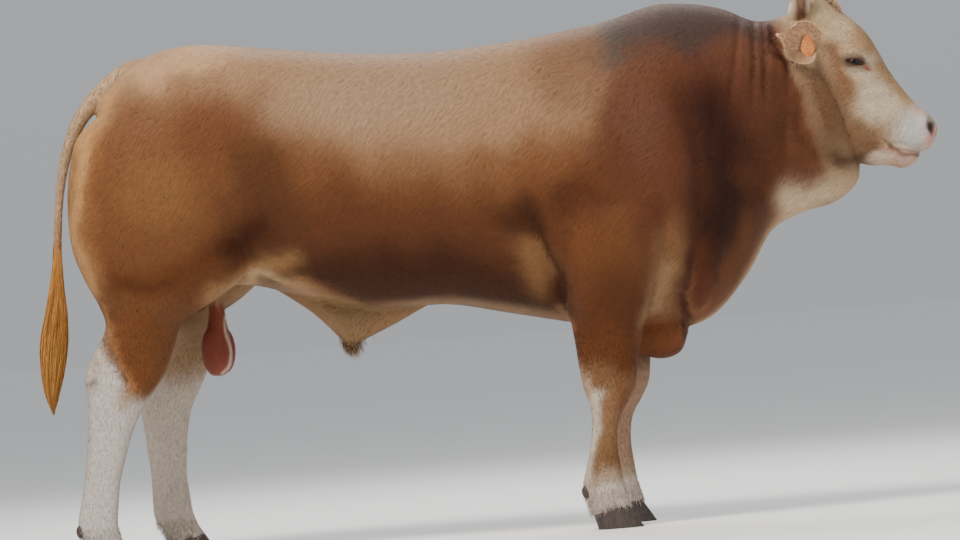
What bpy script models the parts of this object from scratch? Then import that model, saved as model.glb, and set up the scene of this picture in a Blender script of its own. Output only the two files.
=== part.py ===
"""A Blonde d'Aquitaine bull, standing, at life size.

The bull faces +X and its right side is at -Y. The flesh is lofted from cross sections read
off the side view (trunk and neck, head, jaw, four legs, brisket, sheath), grown together
into one closed surface, faired, given its folds and muscles as relief, and parted with thin
cuts into torso, neck, head and legs. Eyes, ears, horns, hooves, dewclaws, tail, scrotum and
the ear tag are pieces of their own that meet the flesh with a gap of 0.3 mm.
Stations are written from the near fore hoof (x = 0) and the ground (z = 0); the last step
shifts everything so that the origin is under the middle of the bull.
"""

import math

import bmesh
import bpy
import numpy as np
from mathutils import Matrix, Vector

# Driving dimensions in metres
GAP = 0.0003               # between pieces that touch
BODY_VOXEL = 0.0085        # grid on which the body's lofts grow together
HEAD_VOXEL = 0.0042
BODY_TRIANGLES = 4800
HEAD_TRIANGLES = 3000
FORE_SHIFT = 0.05          # the far foreleg stands this much further forward
HIND_SHIFT = 0.235         # the far hind hoof stands this much further forward
HIND_SHIFT_TOP = 1.10      # height at which both thighs are level again
FORE_Y = 0.190             # half the distance between the forelegs
HIND_Y = 0.187
ELBOW_Z = 0.630            # where a foreleg is parted from the chest
KNEE_Z = 0.405
CROTCH_Z = 0.800           # where a hind leg is parted from the rump
HOCK_Z = 0.600
CHEST_HALF = 0.098         # half the width of the chest between the forelegs
NECK_TOP, NECK_BOTTOM = (0.445, 1.62), (0.350, 0.52)      # the neck is parted from the torso
HEAD_TOP, HEAD_BOTTOM = (0.640, 1.58), (0.805, 0.93)      # and the head from the neck
EYE = (0.868, 0.106, 1.376)
EYE_RADIUS = 0.0225
LID_HALF_LENGTH, LID_HALF_HEIGHT = 0.025, 0.0105
NOSTRIL = (1.094, 0.036, 1.158)
HORN_RADIUS = 0.031
CORONET_FRONT_Z, CORONET_REAR_Z = 0.070, 0.040
CORONET_LENGTH = 0.125
CORONET_FRONT = {"fore": 0.066, "hind": -1.492}      # x of the front of the coronet
HEEL = {"fore": -0.070, "hind": -1.626}              # x of the dewclaws
DEWCLAW_Z, DEWCLAW_OUT = 0.118, 0.026
DEWCLAW_RADII = (0.021, 0.016, 0.019)
CLAW_LENGTH, CLAW_WIDTH = 0.140, 0.056
CLAW_TOE = 0.036           # how far the toe stands out before the coronet at the ground
CLAW_SLOPE = 0.62          # run of the front wall for each unit of its height
CURLS, CURL_RADIUS = 20, 0.013       # clumps of curly hair on the poll
POLL_X = 0.772

# Cross sections: dorsal or front point (x, z), ventral or rear point (x, z), half width,
# how far up from the ventral point the section is widest, squareness above and below
TRUNK = [
    ((-1.500, 1.36), (-1.500, 1.04), 0.090, 0.50, 2.0, 2.0),
    ((-1.455, 1.465), (-1.470, 0.93), 0.200, 0.52, 2.2, 2.0),
    ((-1.345, 1.552), (-1.400, 0.86), 0.285, 0.55, 2.3, 2.2),
    ((-1.200, 1.590), (-1.250, 0.83), 0.330, 0.55, 2.4, 2.3),
    ((-1.040, 1.576), (-1.060, 0.83), 0.345, 0.52, 2.5, 2.4),
    ((-0.850, 1.547), (-0.870, 0.775), 0.345, 0.50, 2.5, 2.3),
    ((-0.650, 1.523), (-0.660, 0.722), 0.362, 0.48, 2.4, 2.2),
    ((-0.450, 1.512), (-0.450, 0.722), 0.372, 0.48, 2.3, 2.2),
    ((-0.250, 1.521), (-0.250, 0.678), 0.368, 0.48, 2.2, 2.2),
    ((-0.050, 1.541), (-0.050, 0.632), 0.356, 0.46, 2.1, 2.2),
    ((0.120, 1.567), (0.100, 0.605), 0.362, 0.45, 2.0, 2.1),
    ((0.260, 1.602), (0.235, 0.590), 0.352, 0.46, 1.9, 1.9),
    ((0.380, 1.596), (0.368, 0.622), 0.305, 0.48, 1.9, 1.7),
    ((0.475, 1.572), (0.488, 0.742), 0.250, 0.50, 2.0, 1.6),
    ((0.560, 1.531), (0.574, 0.872), 0.212, 0.52, 2.1, 1.6),
    ((0.625, 1.527), (0.672, 0.920), 0.182, 0.54, 2.1, 1.6),
    ((0.670, 1.535), (0.772, 0.944), 0.155, 0.56, 2.1, 1.6),
    ((0.720, 1.490), (0.850, 1.006), 0.120, 0.55, 2.0, 1.7),
    ((0.760, 1.380), (0.862, 1.105), 0.070, 0.50, 2.0, 2.0),
]
HEAD = [
    ((0.705, 1.583), (0.650, 1.430), 0.078, 0.55, 2.4, 2.0),
    ((0.762, 1.598), (0.655, 1.340), 0.110, 0.60, 2.8, 2.0),
    ((0.836, 1.538), (0.672, 1.250), 0.121, 0.66, 2.7, 2.0),
    ((0.904, 1.471), (0.705, 1.160), 0.126, 0.68, 2.8, 2.0),
    ((0.943, 1.404), (0.750, 1.112), 0.116, 0.66, 2.6, 2.1),
    ((0.973, 1.341), (0.800, 1.080), 0.101, 0.60, 2.3, 2.2),
    ((1.003, 1.292), (0.852, 1.072), 0.087, 0.56, 2.2, 2.3),
    ((1.036, 1.247), (0.912, 1.085), 0.079, 0.55, 2.3, 2.4),
    ((1.060, 1.219), (0.962, 1.092), 0.079, 0.52, 2.5, 2.5),
    ((1.084, 1.199), (1.004, 1.084), 0.082, 0.50, 2.6, 2.6),
    ((1.101, 1.172), (1.042, 1.079), 0.076, 0.50, 2.6, 2.6),
    ((1.107, 1.143), (1.068, 1.081), 0.060, 0.50, 2.4, 2.4),
    ((1.099, 1.117), (1.081, 1.092), 0.030, 0.50, 2.0, 2.0),
]
JAW = [
    ((0.830, 1.190), (0.790, 1.090), 0.066, 0.50, 2.2, 2.0),
    ((0.910, 1.150), (0.885, 1.052), 0.068, 0.50, 2.3, 2.0),
    ((0.962, 1.135), (0.950, 1.046), 0.067, 0.50, 2.4, 2.1),
    ((1.004, 1.125), (0.990, 1.034), 0.066, 0.50, 2.5, 2.1),
    ((1.036, 1.115), (1.018, 1.041), 0.058, 0.50, 2.4, 2.1),
    ((1.056, 1.105), (1.040, 1.056), 0.038, 0.50, 2.0, 2.0),
]
BRISKET = [
    ((0.060, 0.66), (0.050, 0.600), 0.045, 0.50, 2.0, 2.0),
    ((0.110, 0.70), (0.110, 0.535), 0.072, 0.45, 2.0, 2.0),
    ((0.190, 0.74), (0.195, 0.503), 0.086, 0.40, 2.0, 2.1),
    ((0.260, 0.76), (0.262, 0.520), 0.088, 0.40, 2.0, 2.1),
    ((0.300, 0.76), (0.292, 0.580), 0.064, 0.45, 2.0, 2.0),
]
SHEATH = [
    ((-0.960, 0.84), (-0.960, 0.785), 0.030, 0.50, 2.0, 2.0),
    ((-0.870, 0.82), (-0.862, 0.722), 0.045, 0.45, 2.0, 1.9),
    ((-0.800, 0.80), (-0.800, 0.655), 0.046, 0.40, 2.0, 1.9),
    ((-0.745, 0.79), (-0.757, 0.606), 0.038, 0.40, 2.0, 1.9),
    ((-0.690, 0.79), (-0.712, 0.632), 0.034, 0.45, 2.0, 1.9),
    ((-0.600, 0.79), (-0.610, 0.676), 0.030, 0.50, 2.0, 2.0),
    ((-0.500, 0.79), (-0.500, 0.715), 0.022, 0.50, 2.0, 2.0),
]
# Leg sections from the top down: height, front x, rear x, middle y, half width, squareness
HIND_LEG = [
    (1.430, -1.16, -1.40, 0.150, 0.080, 2.0),
    (1.340, -1.06, -1.53, 0.165, 0.145, 2.1),
    (1.230, -1.00, -1.573, 0.176, 0.162, 2.2),
    (1.100, -0.98, -1.588, 0.182, 0.168, 2.2),
    (0.980, -1.01, -1.583, 0.184, 0.164, 2.2),
    (0.880, -1.045, -1.551, 0.186, 0.152, 2.2),
    (0.800, -1.145, -1.514, 0.187, 0.130, 2.1),
    (0.735, -1.258, -1.502, 0.187, 0.102, 2.1),
    (0.660, -1.290, -1.544, 0.186, 0.078, 2.0),
    (0.590, -1.320, -1.576, 0.184, 0.064, 2.1),
    (0.530, -1.362, -1.574, 0.183, 0.060, 2.2),
    (0.460, -1.414, -1.578, 0.183, 0.053, 2.2),
    (0.370, -1.454, -1.588, 0.184, 0.045, 2.2),
    (0.270, -1.488, -1.602, 0.185, 0.043, 2.3),
    (0.185, -1.502, -1.622, 0.186, 0.049, 2.4),
    (0.130, -1.508, -1.632, 0.187, 0.055, 2.5),
    (0.085, -1.500, -1.618, 0.187, 0.055, 2.6),
    (0.030, -1.470, -1.600, 0.187, 0.060, 2.8),
]
FORE_LEG = [
    (1.260, 0.200, -0.020, 0.225, 0.085, 2.0),
    (1.100, 0.290, -0.080, 0.232, 0.125, 2.1),
    (0.960, 0.305, -0.120, 0.232, 0.138, 2.1),
    (0.840, 0.265, -0.122, 0.228, 0.130, 2.1),
    (0.740, 0.205, -0.098, 0.216, 0.112, 2.1),
    (0.660, 0.170, -0.080, 0.206, 0.096, 2.1),
    (0.590, 0.144, -0.070, 0.199, 0.082, 2.1),
    (0.510, 0.124, -0.063, 0.195, 0.070, 2.2),
    (0.440, 0.114, -0.054, 0.192, 0.066, 2.5),
    (0.385, 0.086, -0.040, 0.190, 0.060, 2.4),
    (0.330, 0.052, -0.034, 0.190, 0.045, 2.2),
    (0.260, 0.041, -0.044, 0.190, 0.040, 2.3),
    (0.185, 0.046, -0.064, 0.190, 0.048, 2.4),
    (0.135, 0.052, -0.077, 0.190, 0.056, 2.5),
    (0.090, 0.060, -0.066, 0.190, 0.055, 2.6),
    (0.030, 0.088, -0.050, 0.190, 0.060, 2.8),
]
SCROTUM = [
    (0.900, -1.135, -1.195, 0.0, 0.030, 2.0),
    (0.780, -1.136, -1.190, 0.0, 0.034, 2.0),
    (0.715, -1.130, -1.200, 0.0, 0.046, 2.1),
    (0.650, -1.122, -1.218, 0.0, 0.066, 2.2),
    (0.600, -1.124, -1.218, 0.0, 0.068, 2.2),
    (0.566, -1.142, -1.202, 0.0, 0.046, 2.1),
    (0.556, -1.160, -1.186, 0.0, 0.018, 2.0),
]
# Swellings and hollows of the flesh, alike on both sides: middle, radii, height
BODY_MOUNDS = [
    ((0.10, 0.36, 1.02), (0.17, 0.20, 0.20), 0.016),       # shoulder
    ((-0.02, 0.35, 0.86), (0.10, 0.20, 0.12), 0.014),      # upper arm
    ((-1.22, 0.34, 1.15), (0.20, 0.20, 0.22), 0.014),      # thigh
    ((-1.45, 0.25, 1.10), (0.12, 0.20, 0.22), 0.010),      # buttock
    ((-0.98, 0.26, 1.52), (0.10, 0.08, 0.06), 0.008),      # hip bone
    ((-0.90, 0.33, 1.20), (0.14, 0.20, 0.16), -0.012),     # hollow of the flank
]
# Folds seen from the side: their line (x, z), width and depth
BODY_CREASES = [
    ([(-0.20, 1.06), (-0.145, 0.90), (-0.095, 0.74), (-0.07, 0.60)], 0.030, 0.022),
    ([(0.30, 1.34), (0.36, 1.18), (0.362, 1.00), (0.335, 0.80), (0.28, 0.60)], 0.036, 0.022),
    ([(0.22, 1.02), (0.235, 0.88), (0.215, 0.72), (0.17, 0.58)], 0.026, 0.010),
    ([(-1.02, 0.80), (-1.06, 0.95), (-1.08, 1.12)], 0.045, 0.016),
    ([(-1.39, 1.32), (-1.42, 1.10), (-1.43, 0.90)], 0.035, 0.008),
]
NECK_CREASES = [
    ([(0.615, 1.54), (0.622, 1.46), (0.655, 1.39), (0.650, 1.28)], 0.016, 0.012),
    ([(0.566, 1.62), (0.556, 1.44), (0.530, 1.24)], 0.013, 0.007),
    ([(0.594, 1.62), (0.590, 1.44), (0.572, 1.24)], 0.013, 0.007),
    ([(0.530, 1.62), (0.500, 1.44), (0.455, 1.24)], 0.013, 0.006),
    ([(0.470, 1.02), (0.450, 0.86), (0.400, 0.74)], 0.030, 0.010),
    ([(0.560, 1.10), (0.540, 0.96)], 0.028, 0.008),
]
CHEEK_MOUNDS = [
    ((0.862, 0.115, 1.408), (0.040, 0.050, 0.016), 0.009),   # brow
    ((0.925, 0.100, 1.350), (0.035, 0.060, 0.022), -0.005),  # tear pit before the eye
    ((0.770, 0.110, 1.220), (0.075, 0.100, 0.085), 0.012),   # cheek
    ((1.060, 0.070, 1.110), (0.030, 0.030, 0.020), 0.004),   # upper lip
]
CHEEK_CREASES = [
    ([(0.800, 1.370), (0.830, 1.270), (0.900, 1.200)], 0.022, 0.006),
    ([(0.690, 1.30), (0.680, 1.16), (0.760, 1.06), (0.850, 1.06)], 0.024, 0.010),
]
MUZZLE_MOUNDS = [
    (NOSTRIL, (0.0135, 0.014, 0.021), -0.024),
    ((1.080, 0.060, 1.168), (0.020, 0.016, 0.030), 0.006),   # wing of the nostril
    ((0.985, 0.045, 1.062), (0.035, 0.040, 0.018), 0.004),   # lower lip
]
LIPS = [(0.938, 1.126), (0.966, 1.100), (1.005, 1.087), (1.043, 1.081), (1.120, 1.082)]
LIPS_WIDTH, LIPS_DEPTH = 0.0065, 0.0055
# The middle line of the tail and its radius: x, z, radius
TAIL = [
    (-1.240, 1.505, 0.040),
    (-1.330, 1.525, 0.038),
    (-1.400, 1.509, 0.032),
    (-1.473, 1.455, 0.031),
    (-1.536, 1.388, 0.026),
    (-1.577, 1.312, 0.021),
    (-1.606, 1.225, 0.0175),
    (-1.626, 1.121, 0.0152),
    (-1.638, 1.010, 0.0145),
    (-1.648, 0.930, 0.0140),
    (-1.656, 0.850, 0.0120),
]
TAIL_CUT_Z = 1.225         # height at which the tail is parted
SWITCH_CUT_Z = 0.905       # and where its long hair begins
# The long hair of the tail: the middle line of its outline (x, z) and half its width
SWITCH = [
    (-1.6450, 0.930, 0.0150),
    (-1.6535, 0.860, 0.0250),
    (-1.6600, 0.790, 0.0370),
    (-1.6740, 0.700, 0.0470),
    (-1.6830, 0.620, 0.0405),
    (-1.6910, 0.540, 0.0235),
    (-1.6920, 0.476, 0.0020),
]
SWITCH_DEEP = 0.80         # its depth across Y for its width along X
CORE = 0.42                # the core's width for that of the outline
LOCKS = 30
LOCK_RINGS, LOCK_SIDES = 6, 4
LOCK_WIDTH, LOCK_THICK = 0.024, 0.0070
HORN_LINE = [(0.706, 0.055, 1.528), (0.710, 0.108, 1.556), (0.718, 0.142, 1.602), (0.732, 0.152, 1.655)]
EAR_ROOT = (0.748, 0.104, 1.430)
EAR_TIP = (0.622, 0.236, 1.470)
EAR_FACE = (0.26, 0.95, -0.16)     # the way the cup of the ear opens
EAR_HALF = 0.060           # half the width of the ear
EAR_BASE, EAR_BASE_RADII = (0.764, 0.084, 1.424), (0.040, 0.034, 0.042)
TAG_WIDTH, TAG_HEIGHT, TAG_THICK = 0.036, 0.068, 0.0024
TAG_PLACE = (0.27, -0.16)  # of the way from the root of the ear to its tip, and up its cup
TAG_STAND, TAG_LEAN = 0.010, 0.45


def clear_scene():
    for obj in list(bpy.data.objects):
        bpy.data.objects.remove(obj)


def material(name, colour, roughness, metallic=0.0):
    made = bpy.data.materials.new(name)
    made.use_nodes = True
    shader = made.node_tree.nodes["Principled BSDF"]
    shader.inputs["Base Color"].default_value = (*colour, 1.0)
    shader.inputs["Roughness"].default_value = roughness
    shader.inputs["Metallic"].default_value = metallic
    return made


def add(name, points, faces, finish=None):
    mesh = bpy.data.meshes.new(name)
    mesh.from_pydata([tuple(map(float, p)) for p in points], [], [tuple(map(int, f)) for f in faces])
    mesh.update()
    obj = bpy.data.objects.new(name, mesh)
    bpy.context.scene.collection.objects.link(obj)
    if finish:
        mesh.materials.append(finish)
    return obj


def baked(obj):
    """The object with its modifiers applied."""
    bpy.context.view_layer.update()
    evaluated = obj.evaluated_get(bpy.context.evaluated_depsgraph_get())
    mesh = bpy.data.meshes.new_from_object(evaluated)
    obj.modifiers.clear()
    obj.data = mesh
    return obj


def through(rows, steps):
    """A Catmull-Rom curve through rows, with `steps` points to each span."""
    rows = np.asarray(rows, float)
    padded = np.vstack([2 * rows[0] - rows[1], rows, 2 * rows[-1] - rows[-2]])
    out = []
    for i in range(1, len(padded) - 2):
        a, b, c, d = padded[i - 1:i + 3]
        for t in np.arange(steps) / steps:
            out.append(0.5 * (2 * b + (c - a) * t + (2 * a - 5 * b + 4 * c - d) * t ** 2
                              + (3 * b - a - 3 * c + d) * t ** 3))
    out.append(rows[-1])
    return np.array(out)


def tube_faces(rings, sides):
    """Quads between rings of points, and a cap at each end; the last ring is the far end."""
    faces = []
    for i in range(rings - 1):
        for j in range(sides):
            k = (j + 1) % sides
            faces.append((i * sides + j, i * sides + k, (i + 1) * sides + k, (i + 1) * sides + j))
    faces.append(tuple(range(sides))[::-1])
    faces.append(tuple(range((rings - 1) * sides, rings * sides)))
    return faces


def facing_out(obj):
    bm = bmesh.new()
    bm.from_mesh(obj.data)
    bmesh.ops.recalc_face_normals(bm, faces=bm.faces)
    bm.to_mesh(obj.data)
    bm.free()
    return obj


def superellipse(angle, square):
    c, s = np.cos(angle), np.sin(angle)
    return np.sign(c) * np.abs(c) ** (2 / square), np.sign(s) * np.abs(s) ** (2 / square)


def section_loft(name, stations, middle_y=0.0, sides=40, steps=6):
    """A closed skin over sections that each span from a ventral to a dorsal point."""
    rows = through([(*dorsal, *ventral, half, wide, up, down)
                    for dorsal, ventral, half, wide, up, down in stations], steps)
    angle = np.linspace(0, 2 * math.pi, sides, endpoint=False)
    points = []
    for dx, dz, vx, vz, half, wide, up, down in rows:
        cu, su = superellipse(angle, up)
        cd, sd = superellipse(angle, down)
        across = np.where(np.sin(angle) >= 0, cu, cd) * half
        rise = np.where(np.sin(angle) >= 0, wide + (1 - wide) * su, wide + wide * sd)
        points += list(zip(vx + (dx - vx) * rise, middle_y + across, vz + (dz - vz) * rise))
    return facing_out(add(name, points, tube_faces(len(rows), sides)))


def level_loft(name, stations, side, shift=lambda z: 0.0, sides=32, steps=5):
    """A closed skin over level sections, for what stands or hangs; side is +1 or -1."""
    rows = through(stations, steps)
    angle = np.linspace(0, 2 * math.pi, sides, endpoint=False)
    points = []
    for z, front, rear, y, half, square in rows:
        c, s = superellipse(angle, square)
        x = (front + rear) / 2 + (front - rear) / 2 * c + shift(z)
        points += list(zip(x, side * y + half * s, np.full(sides, z)))
    return facing_out(add(name, points, tube_faces(len(rows), sides)))


def pipe(name, line, radii, sides=14, steps=4, flat=1.0, finish=None):
    """A tapering round tube along a curve through points; flat squeezes it across Y."""
    rows = through([(*p, r) for p, r in zip(line, radii)], steps)
    centres, radius = rows[:, :3], rows[:, 3]
    along = np.gradient(centres, axis=0)
    along /= np.linalg.norm(along, axis=1)[:, None]
    side = np.cross(along, (0.3, 0.9, 0.1) if abs(along[0, 1]) < 0.5 else (0.9, 0.1, 0.3))
    side /= np.linalg.norm(side, axis=1)[:, None]
    other = np.cross(along, side)
    angle = np.linspace(0, 2 * math.pi, sides, endpoint=False)
    points = []
    for centre, r, u, v in zip(centres, radius, side, other):
        ring = centre + r * (np.cos(angle)[:, None] * u + flat * np.sin(angle)[:, None] * v)
        points += list(ring)
    return facing_out(add(name, points, tube_faces(len(rows), sides), finish))


def ball(name, centre, radii, turn=Matrix(), finish=None, segments=20, rings=12):
    bm = bmesh.new()
    bmesh.ops.create_uvsphere(bm, u_segments=segments, v_segments=rings, radius=1.0)
    place = Matrix.Translation(centre) @ turn.to_4x4() @ Matrix.Diagonal((*radii, 1.0))
    bmesh.ops.transform(bm, matrix=place, verts=bm.verts)
    obj = add(name, [], [], finish)
    bm.to_mesh(obj.data)
    bm.free()
    return obj


def grown_together(name, pieces, voxel, rounds):
    """The pieces as one closed surface on a grid of voxels, then faired."""
    points, faces = [], []
    for piece in pieces:
        base = len(points)
        points += [tuple(v.co) for v in piece.data.vertices]
        faces += [tuple(base + i for i in f.vertices) for f in piece.data.polygons]
    obj = add(name, points, faces)
    remesh = obj.modifiers.new("Remesh", "REMESH")
    remesh.mode = "VOXEL"
    remesh.voxel_size = voxel
    remesh.adaptivity = 0.0
    baked(obj)
    fair(obj.data, rounds)
    return obj


def coordinates(mesh):
    flat = np.empty(len(mesh.vertices) * 3, np.float32)
    mesh.vertices.foreach_get("co", flat)
    return flat.reshape(-1, 3).astype(float)


def set_coordinates(mesh, points):
    mesh.vertices.foreach_set("co", points.astype(np.float32).ravel())
    mesh.update()


def fair(mesh, rounds, pull=0.55, push=-0.57):
    """Smooths by turns of shrinking and swelling, which keeps the volume."""
    ends = np.empty(len(mesh.edges) * 2, np.int32)
    mesh.edges.foreach_get("vertices", ends)
    a, b = ends[0::2], ends[1::2]
    points = coordinates(mesh)
    count = np.bincount(np.r_[a, b], minlength=len(points))[:, None]
    for step in [pull, push] * rounds:
        total = np.stack([np.bincount(np.r_[a, b], np.r_[points[b, i], points[a, i]], len(points))
                          for i in range(3)], axis=1)
        points += step * (total / count - points)
    set_coordinates(mesh, points)


def normals(mesh):
    flat = np.empty(len(mesh.vertices) * 3, np.float32)
    mesh.vertex_normals.foreach_get("vector", flat)
    return flat.reshape(-1, 3).astype(float)


def mound(points, centre, radii, height):
    """A rounded swelling, or with a height below 0 a hollow."""
    away = ((points - centre) / radii) ** 2
    return height * np.exp(-away.sum(axis=1))


def crease(points, line, width, depth):
    """A groove along a curve through points (x, z), that fades out towards both its ends."""
    flat = points[:, [0, 2]]
    curve = through(line, 4)
    nearest, place = np.full(len(flat), np.inf), np.zeros(len(flat))
    for i, (a, b) in enumerate(zip(curve[:-1], curve[1:])):
        t = np.clip((flat - a) @ (b - a) / ((b - a) @ (b - a)), 0, 1)
        away = np.linalg.norm(flat - a - t[:, None] * (b - a), axis=1)
        closer = away < nearest
        nearest[closer], place[closer] = away[closer], (i + t[closer]) / (len(curve) - 1)
    return -depth * np.exp(-(nearest / width) ** 2) * (1 - np.abs(2 * place - 1) ** 3)


def folded(points):
    """The points with both sides laid on the left one."""
    return np.c_[points[:, 0], np.abs(points[:, 1]), points[:, 2]]


def relief(points, mounds, creases):
    """Summed height of the listed swellings, hollows and folds."""
    height = sum(mound(points, *row) for row in mounds)
    return height + sum(crease(points, *row) for row in creases)


def facing_side(outward):
    """1 where the surface faces the side, 0 where it faces up, down or ahead."""
    return np.clip(np.abs(outward[:, 1]) * 1.5, 0, 1)


def body_relief(points, outward):
    """Muscles and folds of trunk and legs, as a height along the normal."""
    p = folded(points)
    height = relief(p, BODY_MOUNDS, [])
    height += facing_side(outward) * relief(p, [], BODY_CREASES)
    spine = np.exp(-(p[:, 1] / 0.035) ** 2) * np.clip(outward[:, 2], 0, 1)
    back = np.clip((p[:, 0] + 1.35) / 0.2, 0, 1) * np.clip((0.0 - p[:, 0]) / 0.3, 0, 1)
    return height - 0.007 * spine * back


def head_relief(points, outward):
    """Brow, lids, cheek, nostrils, lips and the folds behind the jaw."""
    p = folded(points)
    along, across = np.array((0.96, 0.0, -0.28)), np.array((0.28, 0.0, 0.96))
    u = (p - EYE) @ along / LID_HALF_LENGTH
    v = (p - EYE) @ across / LID_HALF_HEIGHT
    opening = np.sqrt(u ** 2 + v ** 2)
    lids = 0.0065 * np.exp(-((opening - 1.55) / 0.42) ** 2) - 0.007 * np.exp(-(opening / 0.95) ** 4)
    side = facing_side(outward) * (p[:, 1] > 0.05)
    height = side * (lids + relief(p, CHEEK_MOUNDS, CHEEK_CREASES))
    return height + relief(p, MUZZLE_MOUNDS, [(LIPS, LIPS_WIDTH, LIPS_DEPTH)])


def poll_curls(points, outward):
    """The short curly hair of the poll, as rounded clumps in a spiral."""
    roof = np.flatnonzero(outward[:, 2] > 0.2)
    height = np.zeros(len(points))
    for i in range(CURLS):
        turn, reach = i * 2.39996, math.sqrt((i + 0.5) / CURLS)
        x = POLL_X + 0.052 * reach * math.cos(turn)
        y = 0.078 * reach * math.sin(turn)
        centre = points[roof[np.argmin((points[roof, 0] - x) ** 2 + (points[roof, 1] - y) ** 2)]]
        height = np.maximum(height, mound(points, centre, CURL_RADIUS, CURL_RADIUS * 0.5))
    return height


def neck_relief(points, outward):
    """The fold behind the cheek and the wrinkles of the crest."""
    return facing_side(outward) * relief(points, [], NECK_CREASES)


def raise_surface(obj, *reliefs):
    mesh = obj.data
    points, outward = coordinates(mesh), normals(mesh)
    height = sum(shape(points, outward) for shape in reliefs)
    set_coordinates(mesh, points + outward * height[:, None])


def thinned(obj, triangles):
    """The object with about this many triangles."""
    obj.data.calc_loop_triangles()
    decimate = obj.modifiers.new("Decimate", "DECIMATE")
    decimate.ratio = triangles / len(obj.data.loop_triangles)
    decimate.use_collapse_triangulate = True
    return baked(obj)


def copy_of(obj, name):
    made = bpy.data.objects.new(name, obj.data.copy())
    bpy.context.scene.collection.objects.link(made)
    return made


def remove(*objects):
    for obj in objects:
        bpy.data.objects.remove(obj)


def largest(obj):
    """Keeps only the largest closed surface of the object."""
    bm = bmesh.new()
    bm.from_mesh(obj.data)
    left, groups = set(bm.verts), []
    while left:
        group, edge = set(), [left.pop()]
        while edge:
            vert = edge.pop()
            group.add(vert)
            for link in vert.link_edges:
                other = link.other_vert(vert)
                if other in left:
                    left.remove(other)
                    edge.append(other)
        groups.append(group)
    best = max(groups, key=len)
    bmesh.ops.delete(bm, geom=[v for v in bm.verts if v not in best], context="VERTS")
    bm.to_mesh(obj.data)
    bm.free()
    return obj


def combined(obj, other, operation, solver="EXACT"):
    """Applies a Boolean of obj with other; other stays."""
    boolean = obj.modifiers.new("Boolean", "BOOLEAN")
    boolean.operation = operation
    boolean.object = other
    boolean.solver = solver
    return largest(baked(obj))


def box(low, high):
    bm = bmesh.new()
    bmesh.ops.create_cube(bm, size=1.0)
    size = Vector(high) - Vector(low)
    place = Matrix.Translation((Vector(low) + Vector(high)) / 2) @ Matrix.Diagonal((*size, 1.0))
    bmesh.ops.transform(bm, matrix=place, verts=bm.verts)
    obj = add("cutter", [], [])
    bm.to_mesh(obj.data)
    bm.free()
    return obj


def front_of(top, bottom, gap):
    """A slab that fills what lies in front of the plane through two points (x, z)."""
    reach = 0.6
    top, bottom = Vector((top[0], 0, top[1])), Vector((bottom[0], 0, bottom[1]))
    down = (bottom - top).normalized()
    ahead = Vector((0, 1, 0)).cross(down)
    if ahead.x < 0:
        ahead.negate()
    corners = []
    for y in (-reach, reach):
        for start in (top - down * reach, bottom + down * reach):
            for forward in (gap, 2.5):
                corners.append(start + Vector((0, y, 0)) + ahead * forward)
    faces = [(0, 1, 3, 2), (4, 6, 7, 5), (0, 4, 5, 1), (2, 3, 7, 6), (0, 2, 6, 4), (1, 5, 7, 3)]
    return facing_out(add("cutter", corners, faces))


def take(source, name, low, high, finish):
    """Parts what lies in a box from the source, and leaves the gap between the two."""
    inner = box(low, high)
    outer = box(Vector(low) - Vector((GAP,) * 3), Vector(high) + Vector((GAP,) * 3))
    piece = combined(copy_of(source, name), inner, "INTERSECT")
    combined(source, outer, "DIFFERENCE")
    remove(inner, outer)
    return finished(piece, finish)


def finished(obj, finish):
    obj.data.materials.clear()
    obj.data.materials.append(finish)
    obj.data.shade_smooth()
    obj.data.set_sharp_from_angle(angle=math.radians(50))
    return obj


def grown(obj):
    """A copy of the object's surface moved out by the gap, to cut what meets it."""
    made = copy_of(obj, "cutter")
    displace = made.modifiers.new("Displace", "DISPLACE")
    displace.strength = GAP * 1.3
    displace.mid_level = 0.0
    return baked(made)


def clear_of(obj, *others):
    for other in others:
        cutter = grown(other)
        combined(obj, cutter, "DIFFERENCE")
        remove(cutter)
    return obj


def hind_shift(side):
    if side < 0:
        return lambda z: 0.0
    return lambda z: HIND_SHIFT * float(np.clip((HIND_SHIFT_TOP - z) / (HIND_SHIFT_TOP - 0.05), 0, 1))


def fore_shift(side):
    if side < 0:
        return lambda z: 0.0
    return lambda z: FORE_SHIFT * float(np.clip((0.95 - z) / 0.45, 0, 1))


def flesh_lofts():
    lofts = [section_loft("loft", TRUNK, steps=8, sides=56)]
    lofts += [section_loft("loft", stations) for stations in (HEAD, JAW, BRISKET, SHEATH)]
    for side in (-1, 1):
        lofts.append(level_loft("loft", HIND_LEG, side, hind_shift(side)))
        lofts.append(level_loft("loft", FORE_LEG, side, fore_shift(side)))
    return lofts


def swellings(side):
    """The orbit round an eye and the muscle at the root of an ear."""
    x, y, z = EYE
    orbit = ball("orbit", (x - 0.004, side * (y - 0.014), z + 0.006), (0.048, 0.030, 0.040))
    x, y, z = EAR_BASE
    return orbit, ball("ear_base", (x, side * y, z), EAR_BASE_RADII)


def coronet_cutter(side, front, shift, above):
    """A slab over the slanted plane of the coronet, or under it, at one foot."""
    rear = front - CORONET_LENGTH
    slope = (CORONET_FRONT_Z - CORONET_REAR_Z) / (front - rear)
    half = GAP / 2 if above else -GAP / 2
    x0, x1 = rear - 0.2 + shift, front + 0.3 + shift
    z0, z1 = (CORONET_REAR_Z + slope * (x - shift - rear) + half for x in (x0, x1))
    far = 0.8 if above else -0.3
    y0, y1 = side * FORE_Y - 0.15, side * FORE_Y + 0.15
    profile = ((x0, z0), (x1, z1), (x1, z1 + far), (x0, z0 + far))
    corners = [(x, y, z) for y in (y0, y1) for x, z in profile]
    faces = [(0, 1, 2, 3), (7, 6, 5, 4), (0, 4, 5, 1), (1, 5, 6, 2), (2, 6, 7, 3), (3, 7, 4, 0)]
    return facing_out(add("cutter", corners, faces))


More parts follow.
